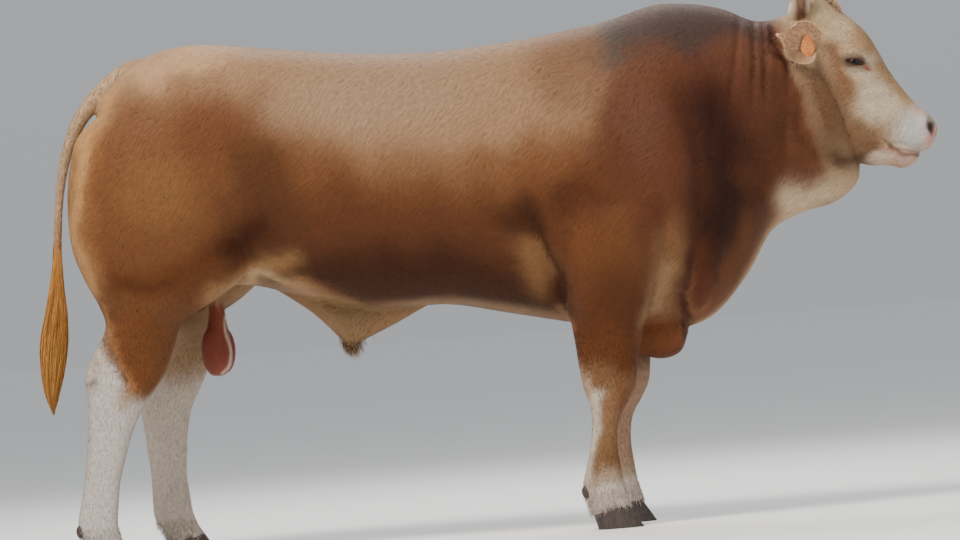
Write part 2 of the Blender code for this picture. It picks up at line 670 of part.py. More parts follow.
def claw(name, lateral, x_front, middle_y, finish):
    """One claw of a hoof: flat sole, sloping wall, rounded toe, cut at the coronet."""
    sides, points = 14, []
    angle = np.linspace(0, 2 * math.pi, sides, endpoint=False)
    levels = (0.0, 0.012, 0.050, 0.100)
    for z in levels:
        toe = x_front + CLAW_TOE - CLAW_SLOPE * z
        heel = x_front - CLAW_LENGTH + CLAW_TOE - 0.25 * z
        c, s = superellipse(angle, 2.4)
        x = (toe + heel) / 2 + (toe - heel) / 2 * c
        taper = 1 - 0.30 * np.clip(c, 0, 1) ** 2
        half = CLAW_WIDTH / 2 * (0.97 if z == 0 else 1.0 - 1.2 * z)
        y = middle_y + half * s * taper - lateral * 0.005 * np.clip(c, 0, 1) ** 2
        points += list(zip(x, y, np.full(sides, z)))
    return facing_out(add(name, points, tube_faces(len(levels), sides), finish))


def make_feet(legs, horn):
    """Eight claws and eight dewclaws; each leg is cut off at its coronets."""
    for leg, end, side in legs:
        front, heel = CORONET_FRONT[end], HEEL[end]
        shift = (fore_shift(side) if end == "fore" else hind_shift(side))(0.05)
        middle = side * (FORE_Y if end == "fore" else HIND_Y)
        above = coronet_cutter(side, front, shift, True)
        combined(leg, above, "INTERSECT")
        below = coronet_cutter(side, front, shift, False)
        where = "right" if side < 0 else "left"
        for lateral in (-1, 1):
            inner = "inner" if lateral * side < 0 else "outer"
            cleft = middle + lateral * (CLAW_WIDTH / 2 + 0.0012)
            piece = claw(f"hoof_{end}_{where}_{inner}", lateral, front + shift, cleft, horn)
            finished(combined(piece, below, "INTERSECT"), horn)
            turn = Matrix.Rotation(math.radians(-32), 4, "Y") @ Matrix.Rotation(lateral * 0.25, 4, "Z")
            centre = (heel + shift, middle + lateral * DEWCLAW_OUT, DEWCLAW_Z)
            dew = ball(f"dewclaw_{end}_{where}_{inner}", centre, DEWCLAW_RADII, turn, horn, 8, 6)
            finished(clear_of(dew, leg), horn)
        remove(above, below)


def ear_frame():
    """Root, length, and the unit vectors along the left ear, out of its cup, and across it."""
    root, tip = Vector(EAR_ROOT), Vector(EAR_TIP)
    axis = (tip - root).normalized()
    face = Vector(EAR_FACE)
    face = (face - axis * face.dot(axis)).normalized()
    return root, (tip - root).length, axis, face, axis.cross(face)


def ear_section(t):
    """Radius, half angle and thickness of the cup, t of the way from root to tip."""
    half = EAR_HALF * math.sin(math.pi * min(1.0, t) ** 0.88) ** 1.6 + 0.010 - 0.0065 * t
    curl = math.radians(128 - 70 * min(1.0, 1.6 * t))
    radius = half / math.sin(min(curl, math.pi / 2))
    return radius, curl, 0.0090 - 0.0045 * t


def ear_point(u, v, layer):
    root, length, axis, face, across = ear_frame()
    radius, curl, thick = ear_section(max(u, 0.0))
    out = radius + layer * thick * (1 - 0.45 * abs(v) ** 3)
    turn = curl * v
    bow = 0.012 * math.sin(math.pi * max(u, 0.0))
    return (root + axis * (u * length) + across * (out * math.sin(turn))
            + face * (min(radius, 0.050) - bow - out * math.cos(turn)))


def ear(name, side, finish):
    """A leaf-shaped cup: a funnel at the root that opens and flattens towards the tip."""
    us, vs = np.linspace(-0.12, 1.0, 12), np.linspace(-1.0, 1.0, 9)
    points = []
    for layer in (0.5, -0.5):
        for u in us:
            for v in vs:
                point = ear_point(u, v, layer)
                points.append((point.x, side * point.y, point.z))
    rows, columns = len(us), len(vs)
    count = rows * columns
    faces = []
    for i in range(rows - 1):
        for j in range(columns - 1):
            a = i * columns + j
            b, c, d = a + 1, a + columns + 1, a + columns
            faces += [(a, b, c), (a, c, d)]
            faces += [(count + a, count + c, count + b), (count + a, count + d, count + c)]
    edge = list(range(columns)) + [i * columns + columns - 1 for i in range(1, rows)]
    edge += list(range(count - 2, count - columns - 1, -1)) + [i * columns for i in range(rows - 2, 0, -1)]
    for k, a in enumerate(edge):
        b = edge[(k + 1) % len(edge)]
        faces += [(a, count + a, count + b), (a, count + b, b)]
    return facing_out(add(name, points, faces, finish))


def rod(start, end, radius, sides=8):
    """A straight round bar between two points."""
    bm = bmesh.new()
    length = (end - start).length
    bmesh.ops.create_cone(bm, cap_ends=True, segments=sides, radius1=radius, radius2=radius, depth=length)
    turn = (end - start).to_track_quat("Z", "Y").to_matrix().to_4x4()
    bmesh.ops.transform(bm, matrix=Matrix.Translation((start + end) / 2) @ turn, verts=bm.verts)
    obj = add("rod", [], [])
    bm.to_mesh(obj.data)
    bm.free()
    return obj


def mirrored(vector, side):
    return Vector((vector.x, side * vector.y, vector.z))


def ear_tag(name, cup, finish):
    """A house-shaped plate before the cup of the right ear, its pin and the button behind."""
    _, _, axis, face, _ = ear_frame()
    face, axis = mirrored(face, -1), mirrored(axis, -1)
    inner, outer = (mirrored(ear_point(*TAG_PLACE, layer), -1) for layer in (-0.5, 0.5))
    down = Vector((0, 0, -1))
    down = (down - face * down.dot(face)).normalized()
    down = (down + face * TAG_LEAN).normalized()
    along = face.cross(down).normalized()
    out = along.cross(down).normalized()
    if out.dot(face) < 0:
        out.negate()
    centre = inner + face * TAG_STAND
    half, top, bottom = TAG_WIDTH / 2, 0.012, TAG_HEIGHT - 0.012
    outline = [(-0.35 * half, -top), (0.35 * half, -top), (half, 0.012), (half, bottom - 0.006),
               (half - 0.006, bottom), (-half + 0.006, bottom), (-half, bottom - 0.006), (-half, 0.012)]
    points = [centre + along * a + down * b + out * layer for layer in (0.0, TAG_THICK) for a, b in outline]
    plate = facing_out(add(name, points, tube_faces(2, len(outline)), finish))
    pin = rod(outer - face * 0.006, centre + out * (TAG_THICK * 0.5), 0.0030)
    button = rod(outer - face * 0.0060, outer - face * 0.0030, 0.0130, 12)
    stud = rod(centre, centre + out * (TAG_THICK + 0.003), 0.0075, 10)
    for piece in (pin, stud, button):
        combined(plate, piece, "UNION")
    hole = rod(outer - face * 0.02, inner + face * 0.02, 0.0030 + GAP)
    combined(cup, hole, "DIFFERENCE")
    remove(pin, button, stud, hole)
    return clear_of(plate, cup)


def switch_outline(s):
    """The switch's middle and half width, s of the way from its top (0) to its tip (1)."""
    rows = through(SWITCH, 8)
    at = s * (len(rows) - 1)
    x, z, half = (np.interp(at, np.arange(len(rows)), rows[:, i]) for i in range(3))
    return np.stack([x, np.zeros_like(x), z], axis=-1), half


def lock(i, draw):
    """A flat, tapered lock: from the core out to the outline, then in towards its tip."""
    start = 0.02 + 0.52 * (i / LOCKS)
    end = min(1.0, start + draw.uniform(0.40, 0.52)) if i < LOCKS - 4 else 1.0
    turn = i * 2.39996 + draw.uniform(-0.2, 0.2)
    sway = draw.uniform(-0.35, 0.35)
    t = np.linspace(0, 1, LOCK_RINGS)
    middle, half = switch_outline(start + (end - start) * t)
    reach = half * np.interp(t, [0, 0.15, 0.45, 1.0], [0.20, 0.62, 0.92, 0.86])
    around = turn + sway * t ** 2
    out = np.stack([np.cos(around), SWITCH_DEEP * np.sin(around), np.zeros(LOCK_RINGS)], axis=1)
    line = middle + out * reach[:, None]
    out /= np.linalg.norm(out, axis=1)[:, None]
    across = np.cross(out, (0.0, 0.0, 1.0))
    wide = LOCK_WIDTH * np.interp(t, [0, 0.3, 0.65, 1.0], [0.50, 1.0, 0.80, 0.06]) / 2
    thick = LOCK_THICK * np.interp(t, [0, 0.3, 0.65, 1.0], [0.8, 1.0, 0.80, 0.16]) / 2
    angle = np.linspace(0, 2 * math.pi, LOCK_SIDES, endpoint=False)
    points = []
    for p, a, o, w, h in zip(line, across, out, wide, thick):
        points += [p + a * (w * math.cos(k)) + o * (h * math.sin(k)) for k in angle]
    return facing_out(add("lock", points, tube_faces(LOCK_RINGS, LOCK_SIDES)))


def tail_switch(name):
    """The core of the switch with its locks, joined into one closed body."""
    rows = np.array(SWITCH)[:-1]
    line = [(x, 0.0, z) for x, z, _ in rows]
    radii = [max(0.006, half * CORE) if i else half for i, half in enumerate(rows[:, 2])]
    switch = pipe(name, line, radii, sides=10, steps=2)
    draw = np.random.default_rng(7)
    locks = bpy.data.collections.new("locks")
    for i in range(LOCKS):
        piece = lock(i, draw)
        bpy.context.scene.collection.objects.unlink(piece)
        locks.objects.link(piece)
    bpy.context.scene.collection.children.link(locks)
    boolean = switch.modifiers.new("Locks", "BOOLEAN")
    boolean.operation = "UNION"
    boolean.operand_type = "COLLECTION"
    boolean.collection = locks
    boolean.solver = "EXACT"
    boolean.use_self = True
    baked(switch)
    remove(*locks.objects)
    bpy.data.collections.remove(locks)
    return largest(switch)


def centre_origin():
    """Shifts every piece so that the origin is under the middle of the bull, on the ground."""
    pieces = [obj for obj in bpy.data.objects if obj.type == "MESH"]
    points = np.vstack([coordinates(obj.data) for obj in pieces])
    low, high = points.min(axis=0), points.max(axis=0)
    for obj in pieces:
        obj.location = (-(low[0] + high[0]) / 2, -(low[1] + high[1]) / 2, -low[2])


def main():
    clear_scene()
    coat = material("coat", (0.45, 0.24, 0.12), 0.85)
    horn = material("horn", (0.30, 0.22, 0.15), 0.45)
    hoof = material("hoof", (0.07, 0.05, 0.04), 0.6)
    eye_black = material("eye", (0.02, 0.012, 0.008), 0.08)
    skin = material("bare_skin", (0.30, 0.11, 0.08), 0.6)
    plastic = material("tag", (0.85, 0.28, 0.06), 0.4)
    hair = material("switch_hair", (0.55, 0.30, 0.10), 0.7)

    lofts = flesh_lofts()
    bumps = [*swellings(-1), *swellings(1)]
    body = grown_together("torso", lofts + bumps, BODY_VOXEL, 8)
    raise_surface(body, body_relief, neck_relief, head_relief)
    thinned(body, BODY_TRIANGLES)

    head = grown_together("head", [*lofts[:3], *bumps], HEAD_VOXEL, 5)
    keep = front_of((HEAD_TOP[0] - 0.05, HEAD_TOP[1]), (HEAD_BOTTOM[0] - 0.05, HEAD_BOTTOM[1]), 0.0)
    combined(head, keep, "INTERSECT")
    raise_surface(head, body_relief, neck_relief, head_relief, poll_curls)
    thinned(head, HEAD_TRIANGLES)
    ahead = front_of(HEAD_TOP, HEAD_BOTTOM, 0.0)
    finished(combined(head, ahead, "INTERSECT"), coat)
    remove(keep, *lofts, *bumps)

    for side, where in ((-1, "right"), (1, "left")):
        centre = (EYE[0], side * EYE[1], EYE[2])
        socket = ball("cutter", centre, (EYE_RADIUS + GAP,) * 3, segments=16, rings=10)
        combined(head, socket, "DIFFERENCE")
        remove(socket)
        finished(ball(f"eye_{where}", centre, (EYE_RADIUS,) * 3, segments=16, rings=10), eye_black)
    finished(head, coat)

    beyond = front_of(HEAD_TOP, HEAD_BOTTOM, -GAP)
    combined(body, beyond, "DIFFERENCE")
    before = front_of(NECK_TOP, NECK_BOTTOM, 0.0)
    neck = finished(combined(copy_of(body, "neck"), before, "INTERSECT"), coat)
    past = front_of(NECK_TOP, NECK_BOTTOM, -GAP)
    combined(body, past, "DIFFERENCE")
    remove(ahead, beyond, before, past)

    legs = []
    for side, where in ((-1, "right"), (1, "left")):
        y = sorted((side * 0.004, side * 0.6))
        upper = take(body, f"hindleg_{where}_upper", (-1.8, y[0], -0.1), (-1.03, y[1], CROTCH_Z), coat)
        lower = take(upper, f"hindleg_{where}_lower", (-1.8, -0.6, -0.2), (-1.0, 0.6, HOCK_Z), coat)
        legs.append((lower, "hind", side))
        y = sorted((side * CHEST_HALF, side * 0.6))
        upper = take(body, f"foreleg_{where}_upper", (-0.30, y[0], -0.1), (0.24, y[1], ELBOW_Z), coat)
        lower = take(upper, f"foreleg_{where}_lower", (-0.30, -0.6, -0.2), (0.30, 0.6, KNEE_Z), coat)
        legs.append((lower, "fore", side))
    finished(body, coat)
    make_feet(legs, hoof)

    tail_line = [(x, 0.0, z) for x, z, _ in TAIL]
    tail_radii = [r for _, _, r in TAIL]
    tail = pipe("tail_upper", tail_line, tail_radii, sides=10, steps=2)
    lower = take(tail, "tail_lower", (-1.8, -0.1, SWITCH_CUT_Z), (-1.5, 0.1, TAIL_CUT_Z), coat)
    upper = box((-1.8, -0.1, TAIL_CUT_Z), (-1.0, 0.1, 1.8))
    combined(tail, upper, "INTERSECT")
    finished(clear_of(tail, body), coat)
    remove(upper)

    scrotum = level_loft("scrotum", SCROTUM, 1, sides=12, steps=2)
    finished(clear_of(scrotum, body), skin)

    for side, where in ((-1, "right"), (1, "left")):
        line = [(x, side * y, z) for x, y, z in HORN_LINE]
        radii = [HORN_RADIUS, HORN_RADIUS * 0.92, HORN_RADIUS * 0.62, 0.003]
        prong = pipe(f"horn_{where}", line, radii, sides=10, steps=3)
        finished(clear_of(prong, head), horn)
        cup = ear(f"ear_{where}", side, coat)
        clear_of(cup, head, neck)
        if side < 0:
            finished(ear_tag("ear_tag_right", cup, plastic), plastic)
        finished(cup, coat)

    switch = tail_switch("tail_switch")
    below = box((-1.9, -0.2, 0.3), (-1.4, 0.2, SWITCH_CUT_Z - GAP))
    combined(switch, below, "INTERSECT")
    remove(below)
    finished(switch, hair)
    centre_origin()


main()
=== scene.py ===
# %% [markdown]
# A Blonde d'Aquitaine bull stands as a still model, at life size. The solids of the frame say
# where each part of the body is and how large; this script makes what the eye sees: one skin
# without a seam, the coat on it, the long hair of the tail, horns, hooves, eyes and the ear tag.
# Everything is written from the near fore hoof (x = 0, ground at z = 0), as the solids are, and
# is moved into the frame when its mesh is made. The bull faces +X and its right side is at -Y.

# %% Frame
import math

import bmesh
import bpy
import numpy as np
from mathutils.bvhtree import BVHTree
from mathutils import Matrix, Vector


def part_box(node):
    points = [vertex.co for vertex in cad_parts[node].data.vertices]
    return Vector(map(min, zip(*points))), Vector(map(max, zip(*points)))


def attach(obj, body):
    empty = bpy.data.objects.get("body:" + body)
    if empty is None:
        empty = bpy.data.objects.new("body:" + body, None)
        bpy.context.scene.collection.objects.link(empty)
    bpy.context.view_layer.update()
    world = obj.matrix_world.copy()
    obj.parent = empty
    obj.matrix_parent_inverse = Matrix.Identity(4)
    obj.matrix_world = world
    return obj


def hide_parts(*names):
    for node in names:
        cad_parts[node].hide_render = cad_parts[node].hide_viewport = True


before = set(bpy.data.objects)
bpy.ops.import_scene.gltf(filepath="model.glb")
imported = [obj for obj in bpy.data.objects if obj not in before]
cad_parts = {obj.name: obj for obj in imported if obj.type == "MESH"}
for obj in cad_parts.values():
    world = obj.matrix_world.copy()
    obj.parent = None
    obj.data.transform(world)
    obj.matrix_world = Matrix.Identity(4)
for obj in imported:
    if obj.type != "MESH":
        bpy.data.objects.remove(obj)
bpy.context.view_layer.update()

SOLID_EYE = np.array((0.868, 0.106, 1.376))   # the left eye's solid, from the near fore hoof
SHIFT = np.array(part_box("eye_right")).mean(axis=0) - SOLID_EYE * (1, -1, 1)
EYE = SOLID_EYE + (-0.004, 0.0, -0.005)       # the seen eye sits a little lower and further back
print("the near fore hoof stands at", np.round(SHIFT, 4))

# %% [markdown]
# The camera stands at the bull's right side, twenty metres off and low, and is rolled a little,
# as the picture was. A long lens keeps near and far legs almost equally large. The roll is
# set by the camera's own axes: right, up, and the direction back from what it looks at.

# %% Camera
METRES_PER_PIXEL = 0.0031
FRAME_WIDTH = 960
ROLL = math.radians(4.5)
DISTANCE = 20.0
LOOK_AT = (-0.3395, 0.0, 0.8228)          # what lies in the middle of the frame
SENSOR = 36.0


def put(name, data):
    """A new object with this name and data, linked to the scene."""
    obj = bpy.data.objects.new(name, data)
    bpy.context.scene.collection.objects.link(obj)
    return obj


right = Vector((math.cos(ROLL), 0, -math.sin(ROLL)))
up = Vector((math.sin(ROLL), 0, math.cos(ROLL)))
back = right.cross(up)
eye_point = Vector(LOOK_AT) + Vector(SHIFT) + back * DISTANCE
camera_data = bpy.data.cameras.new("Camera")
camera_data.sensor_width = SENSOR
camera_data.lens = SENSOR * DISTANCE / (FRAME_WIDTH * METRES_PER_PIXEL)
camera = put("Camera", camera_data)
camera.matrix_world = Matrix.Translation(eye_point) @ Matrix((right, up, back)).transposed().to_4x4()
bpy.context.scene.camera = camera
print("lens", round(camera_data.lens, 1), "mm, camera at", [round(c, 2) for c in eye_point])

# %% [markdown]
# A museum model is seen in soft light. One large lamp high on the left stands for the sky, a
# weak one from the camera's side opens the shadows, and a narrow one from behind draws the
# back's edge. The floor and the backdrop share one pale tone, so no horizon line shows.

# %% Floor and light
FLOOR_HALF = 60.0
PALE = (0.80, 0.80, 0.79)
SKY_TONES = ((0.02, (0.699, 0.718, 0.742, 1.0)), (0.45, (0.90, 0.93, 0.97, 1.0)))
SKY_STRENGTH = 0.62


def plain_material(name, colour, roughness):
    """A material with one colour and one roughness all over."""
    made = bpy.data.materials.new(name)
    made.use_nodes = True
    shader = made.node_tree.nodes["Principled BSDF"]
    shader.inputs["Base Color"].default_value = (*colour, 1.0)
    shader.inputs["Roughness"].default_value = roughness
    return made


def set_tones(ramp, tones):
    """Gives the stops of a ramp their places, from 0 to 1, and their colours."""
    for stop, (position, tone) in zip(ramp.color_ramp.elements, tones):
        stop.position, stop.color = position, tone


def link(source, out, target, into):
    """Joins an output of one node to an input of another, each by its name or number."""
    source.id_data.links.new(source.outputs[out], target.inputs[into])


def lamp(name, place, target, size, power, colour):
    """A square lamp at place that faces target."""
    light = bpy.data.lights.new(name, "AREA")
    light.shape = "SQUARE"
    light.size = size
    light.energy = power
    light.color = colour
    obj = put(name, light)
    obj.location = place
    obj.rotation_euler = (Vector(target) - Vector(place)).to_track_quat("-Z", "Y").to_euler()


floor_mesh = bpy.data.meshes.new("floor")
corners = [(x * FLOOR_HALF, y * FLOOR_HALF, 0.0) for x, y in ((-1, -1), (1, -1), (1, 1), (-1, 1))]
floor_mesh.from_pydata(corners, [], [(0, 1, 2, 3)])
floor = put("floor", floor_mesh)
floor_mesh.materials.append(plain_material("pale_floor", PALE, 0.9))

world = bpy.data.worlds.new("World")
bpy.context.scene.world = world
world.use_nodes = True
sky = world.node_tree
facing = sky.nodes.new("ShaderNodeTexCoord")
parts = sky.nodes.new("ShaderNodeSeparateXYZ")
ramp = sky.nodes.new("ShaderNodeValToRGB")
set_tones(ramp, SKY_TONES)
link(facing, "Generated", parts, "Vector")
link(parts, "Z", ramp, "Fac")
link(ramp, "Color", sky.nodes["Background"], "Color")
sky.nodes["Background"].inputs["Strength"].default_value = SKY_STRENGTH
lamp("sky_lamp", (-2.4, -4.2, 6.8), (0, 0, 0.9), 2.6, 900, (1.0, 0.96, 0.90))
lamp("fill_lamp", (3.5, -6.5, 2.6), (0.2, 0, 0.9), 3.5, 130, (0.93, 0.96, 1.0))
lamp("edge_lamp", (0.5, 4.5, 5.0), (0, 0, 1.2), 2.5, 260, (1.0, 0.98, 0.95))
print(len(bpy.data.lights), "lamps and a sky of strength", SKY_STRENGTH)

# %% [markdown]
# The shape of the flesh is drawn as a boat builder would: cross sections at stations along the
# body, and a smooth skin pulled over them. Each row gives the dorsal or front point (x, z), the
# ventral or rear point (x, z), half the width, how far up the section is widest, and how square
# it is above and below. The numbers are those of the solids, so the skin stays on them.

# %% Sections of trunk, head, jaw, brisket and sheath
TRUNK = [
    ((-1.5, 1.36), (-1.5, 1.04), 0.09, 0.5, 2.0, 2.0),
    ((-1.455, 1.465), (-1.47, 0.93), 0.2, 0.52, 2.2, 2.0),
    ((-1.345, 1.552), (-1.4, 0.86), 0.285, 0.55, 2.3, 2.2),
    ((-1.2, 1.59), (-1.25, 0.83), 0.33, 0.55, 2.4, 2.3),
    ((-1.04, 1.576), (-1.06, 0.83), 0.345, 0.52, 2.5, 2.4),
    ((-0.85, 1.547), (-0.87, 0.775), 0.345, 0.5, 2.5, 2.3),
    ((-0.65, 1.523), (-0.66, 0.722), 0.362, 0.48, 2.4, 2.2),
    ((-0.45, 1.512), (-0.45, 0.722), 0.372, 0.48, 2.3, 2.2),
    ((-0.25, 1.521), (-0.25, 0.678), 0.368, 0.48, 2.2, 2.2),
    ((-0.05, 1.541), (-0.05, 0.632), 0.356, 0.46, 2.1, 2.2),
    ((0.12, 1.567), (0.1, 0.605), 0.362, 0.45, 2.0, 2.1),
    ((0.26, 1.602), (0.235, 0.59), 0.352, 0.46, 1.9, 1.9),
    ((0.38, 1.596), (0.368, 0.622), 0.305, 0.48, 1.9, 1.7),
    ((0.475, 1.572), (0.488, 0.742), 0.25, 0.5, 2.0, 1.6),
    ((0.56, 1.531), (0.574, 0.872), 0.212, 0.52, 2.1, 1.6),
    ((0.625, 1.527), (0.672, 0.92), 0.182, 0.54, 2.1, 1.6),
    ((0.67, 1.535), (0.772, 0.944), 0.155, 0.56, 2.1, 1.6),
    ((0.72, 1.49), (0.85, 1.006), 0.12, 0.55, 2.0, 1.7),
    ((0.76, 1.38), (0.862, 1.105), 0.07, 0.5, 2.0, 2.0),
]
HEAD = [
    ((0.705, 1.583), (0.65, 1.43), 0.078, 0.55, 2.4, 2.0),
    ((0.762, 1.598), (0.655, 1.34), 0.11, 0.6, 2.8, 2.0),
    ((0.836, 1.538), (0.672, 1.25), 0.121, 0.66, 2.7, 2.0),
    ((0.904, 1.471), (0.705, 1.16), 0.126, 0.68, 2.8, 2.0),
    ((0.943, 1.404), (0.75, 1.112), 0.116, 0.66, 2.6, 2.1),
    ((0.973, 1.341), (0.8, 1.08), 0.101, 0.6, 2.3, 2.2),
    ((1.003, 1.292), (0.852, 1.072), 0.087, 0.56, 2.2, 2.3),
    ((1.036, 1.247), (0.912, 1.085), 0.079, 0.55, 2.3, 2.4),
    ((1.06, 1.219), (0.962, 1.092), 0.079, 0.52, 2.5, 2.5),
    ((1.084, 1.199), (1.004, 1.084), 0.082, 0.5, 2.6, 2.6),
    ((1.101, 1.172), (1.042, 1.079), 0.076, 0.5, 2.6, 2.6),
    ((1.107, 1.143), (1.068, 1.081), 0.06, 0.5, 2.4, 2.4),
    ((1.099, 1.117), (1.081, 1.092), 0.03, 0.5, 2.0, 2.0),
]
JAW = [
    ((0.83, 1.19), (0.79, 1.09), 0.066, 0.5, 2.2, 2.0),
    ((0.91, 1.15), (0.885, 1.052), 0.068, 0.5, 2.3, 2.0),
    ((0.962, 1.135), (0.95, 1.046), 0.067, 0.5, 2.4, 2.1),
    ((1.004, 1.125), (0.99, 1.034), 0.066, 0.5, 2.5, 2.1),
    ((1.036, 1.115), (1.018, 1.041), 0.058, 0.5, 2.4, 2.1),
    ((1.056, 1.105), (1.04, 1.056), 0.038, 0.5, 2.0, 2.0),
]
BRISKET = [
    ((0.06, 0.66), (0.05, 0.6), 0.045, 0.5, 2.0, 2.0),
    ((0.11, 0.7), (0.11, 0.535), 0.072, 0.45, 2.0, 2.0),
    ((0.19, 0.74), (0.195, 0.503), 0.086, 0.4, 2.0, 2.1),
    ((0.26, 0.76), (0.262, 0.52), 0.088, 0.4, 2.0, 2.1),
    ((0.3, 0.76), (0.292, 0.58), 0.064, 0.45, 2.0, 2.0),
]
SHEATH = [
    ((-1.000, 0.86), (-1.000, 0.826), 0.02, 0.5, 2.0, 2.0),
    ((-0.94, 0.84), (-0.935, 0.78), 0.032, 0.5, 2.0, 2.0),
    ((-0.87, 0.82), (-0.862, 0.722), 0.045, 0.45, 2.0, 1.9),
    ((-0.8, 0.8), (-0.8, 0.655), 0.046, 0.4, 2.0, 1.9),
    ((-0.745, 0.79), (-0.757, 0.606), 0.038, 0.4, 2.0, 1.9),
    ((-0.69, 0.79), (-0.712, 0.632), 0.034, 0.45, 2.0, 1.9),
    ((-0.6, 0.79), (-0.61, 0.676), 0.03, 0.5, 2.0, 2.0),
    ((-0.48, 0.79), (-0.48, 0.738), 0.018, 0.5, 2.0, 2.0),
]
print(len(TRUNK), "sections on trunk and neck,", len(HEAD), "on the head")

# %% [markdown]
# Legs and scrotum stand or hang, so their sections are level. Each row gives the height, the
# front and rear x, how far the middle is from the bull's middle plane, half the width and the
# squareness. The far legs are the near ones set a little further forward towards the ground.

# %% Sections of legs, scrotum and tail
HIND_LEG = [
    (1.43, -1.16, -1.4, 0.15, 0.08, 2.0),
    (1.34, -1.06, -1.53, 0.165, 0.145, 2.1),
    (1.23, -1.00, -1.573, 0.176, 0.162, 2.2),
    (1.1, -0.98, -1.588, 0.182, 0.168, 2.2),
    (0.98, -1.01, -1.583, 0.184, 0.164, 2.2),
    (0.88, -1.045, -1.551, 0.186, 0.152, 2.2),
    (0.8, -1.145, -1.514, 0.187, 0.13, 2.1),
    (0.735, -1.258, -1.502, 0.187, 0.102, 2.1),
    (0.66, -1.29, -1.544, 0.186, 0.078, 2.0),
    (0.59, -1.32, -1.576, 0.184, 0.064, 2.1),
    (0.53, -1.362, -1.574, 0.183, 0.06, 2.2),
    (0.46, -1.414, -1.578, 0.183, 0.053, 2.2),
    (0.37, -1.454, -1.588, 0.184, 0.045, 2.2),
    (0.27, -1.488, -1.602, 0.185, 0.043, 2.3),
    (0.185, -1.502, -1.622, 0.186, 0.049, 2.4),
    (0.13, -1.508, -1.632, 0.187, 0.055, 2.5),
    (0.085, -1.5, -1.618, 0.187, 0.055, 2.6),
    (0.03, -1.47, -1.6, 0.187, 0.06, 2.8),
]
FORE_LEG = [
    (1.26, 0.2, -0.02, 0.225, 0.085, 2.0),
    (1.1, 0.29, -0.08, 0.232, 0.125, 2.1),
    (0.96, 0.305, -0.12, 0.232, 0.138, 2.1),
    (0.84, 0.265, -0.122, 0.228, 0.13, 2.1),
    (0.74, 0.205, -0.098, 0.216, 0.112, 2.1),
    (0.66, 0.17, -0.08, 0.206, 0.096, 2.1),
    (0.59, 0.144, -0.07, 0.199, 0.082, 2.1),
    (0.51, 0.124, -0.063, 0.195, 0.07, 2.2),
    (0.44, 0.114, -0.054, 0.192, 0.066, 2.5),
    (0.385, 0.086, -0.04, 0.19, 0.06, 2.4),
    (0.33, 0.052, -0.034, 0.19, 0.045, 2.2),
    (0.26, 0.041, -0.044, 0.19, 0.04, 2.3),
    (0.185, 0.046, -0.064, 0.19, 0.048, 2.4),
    (0.135, 0.052, -0.077, 0.19, 0.056, 2.5),
    (0.09, 0.06, -0.066, 0.19, 0.055, 2.6),
    (0.03, 0.088, -0.05, 0.19, 0.06, 2.8),
]
SCROTUM = [
    (0.9, -1.135, -1.195, 0.0, 0.03, 2.0),
    (0.78, -1.136, -1.19, 0.0, 0.034, 2.0),
    (0.715, -1.13, -1.2, 0.0, 0.046, 2.1),
    (0.65, -1.122, -1.218, 0.0, 0.066, 2.2),
    (0.6, -1.124, -1.218, 0.0, 0.068, 2.2),
    (0.566, -1.142, -1.202, 0.0, 0.046, 2.1),
    (0.556, -1.16, -1.186, 0.0, 0.018, 2.0),
]
# The middle line of the tail and its radius: x, z, radius
TAIL = [
    (-1.24, 1.505, 0.04),
    (-1.33, 1.525, 0.038),
    (-1.4, 1.509, 0.032),
    (-1.473, 1.455, 0.031),
    (-1.536, 1.388, 0.026),
    (-1.577, 1.312, 0.021),
    (-1.606, 1.225, 0.0175),
    (-1.626, 1.121, 0.0152),
    (-1.638, 1.01, 0.0145),
    (-1.648, 0.93, 0.014),
    (-1.656, 0.85, 0.012),
    (-1.664, 0.77, 0.008),
]
# How far forward a far leg stands, the height where that starts, and over which drop it grows
HIND_SHIFT, HIND_SHIFT_TOP, HIND_RUN = 0.235, 1.10, 1.05
FORE_SHIFT, FORE_SHIFT_TOP, FORE_RUN = 0.05, 0.95, 0.45
print(len(HIND_LEG), "levels down a hind leg,", len(FORE_LEG), "down a foreleg")

# %% [markdown]
# A few helpers do the lofting. `through` runs a smooth curve through the rows, and `ring_mesh`
# joins rings of points into one closed shell. Numpy works on whole arrays, so a shell of many
# thousand points takes no loop over its points.

# %% Lofting


def round_angles(count):
    """Angles of this many points spread evenly over a full turn."""
    return np.linspace(0, 2 * math.pi, count, endpoint=False)


def through(rows, steps):
    """Catmull-Rom curve: between two rows a cubic in t from 0 to 1, whose slope at each row is
    half the way from the row before it to the row after it."""
    rows = np.asarray(rows, float)
    padded = np.vstack([2 * rows[0] - rows[1], rows, 2 * rows[-1] - rows[-2]])
    a, b, c, d = (padded[k:len(padded) - 3 + k, None] for k in range(4))
    t = (np.arange(steps) / steps)[None, :, None]
    spans = 0.5 * (2 * b + (c - a) * t + (2 * a - 5 * b + 4 * c - d) * t ** 2
                   + (3 * b - a - 3 * c + d) * t ** 3)
    return np.vstack([spans.reshape(-1, rows.shape[1]), rows[-1:]])


def outward(points, faces):
    """The faces, turned round if they enclose a volume below 0."""
    a, b, c = (points[faces[:, k]] for k in range(3))
    return faces if (a * np.cross(b, c)).sum() > 0 else faces[:, ::-1]


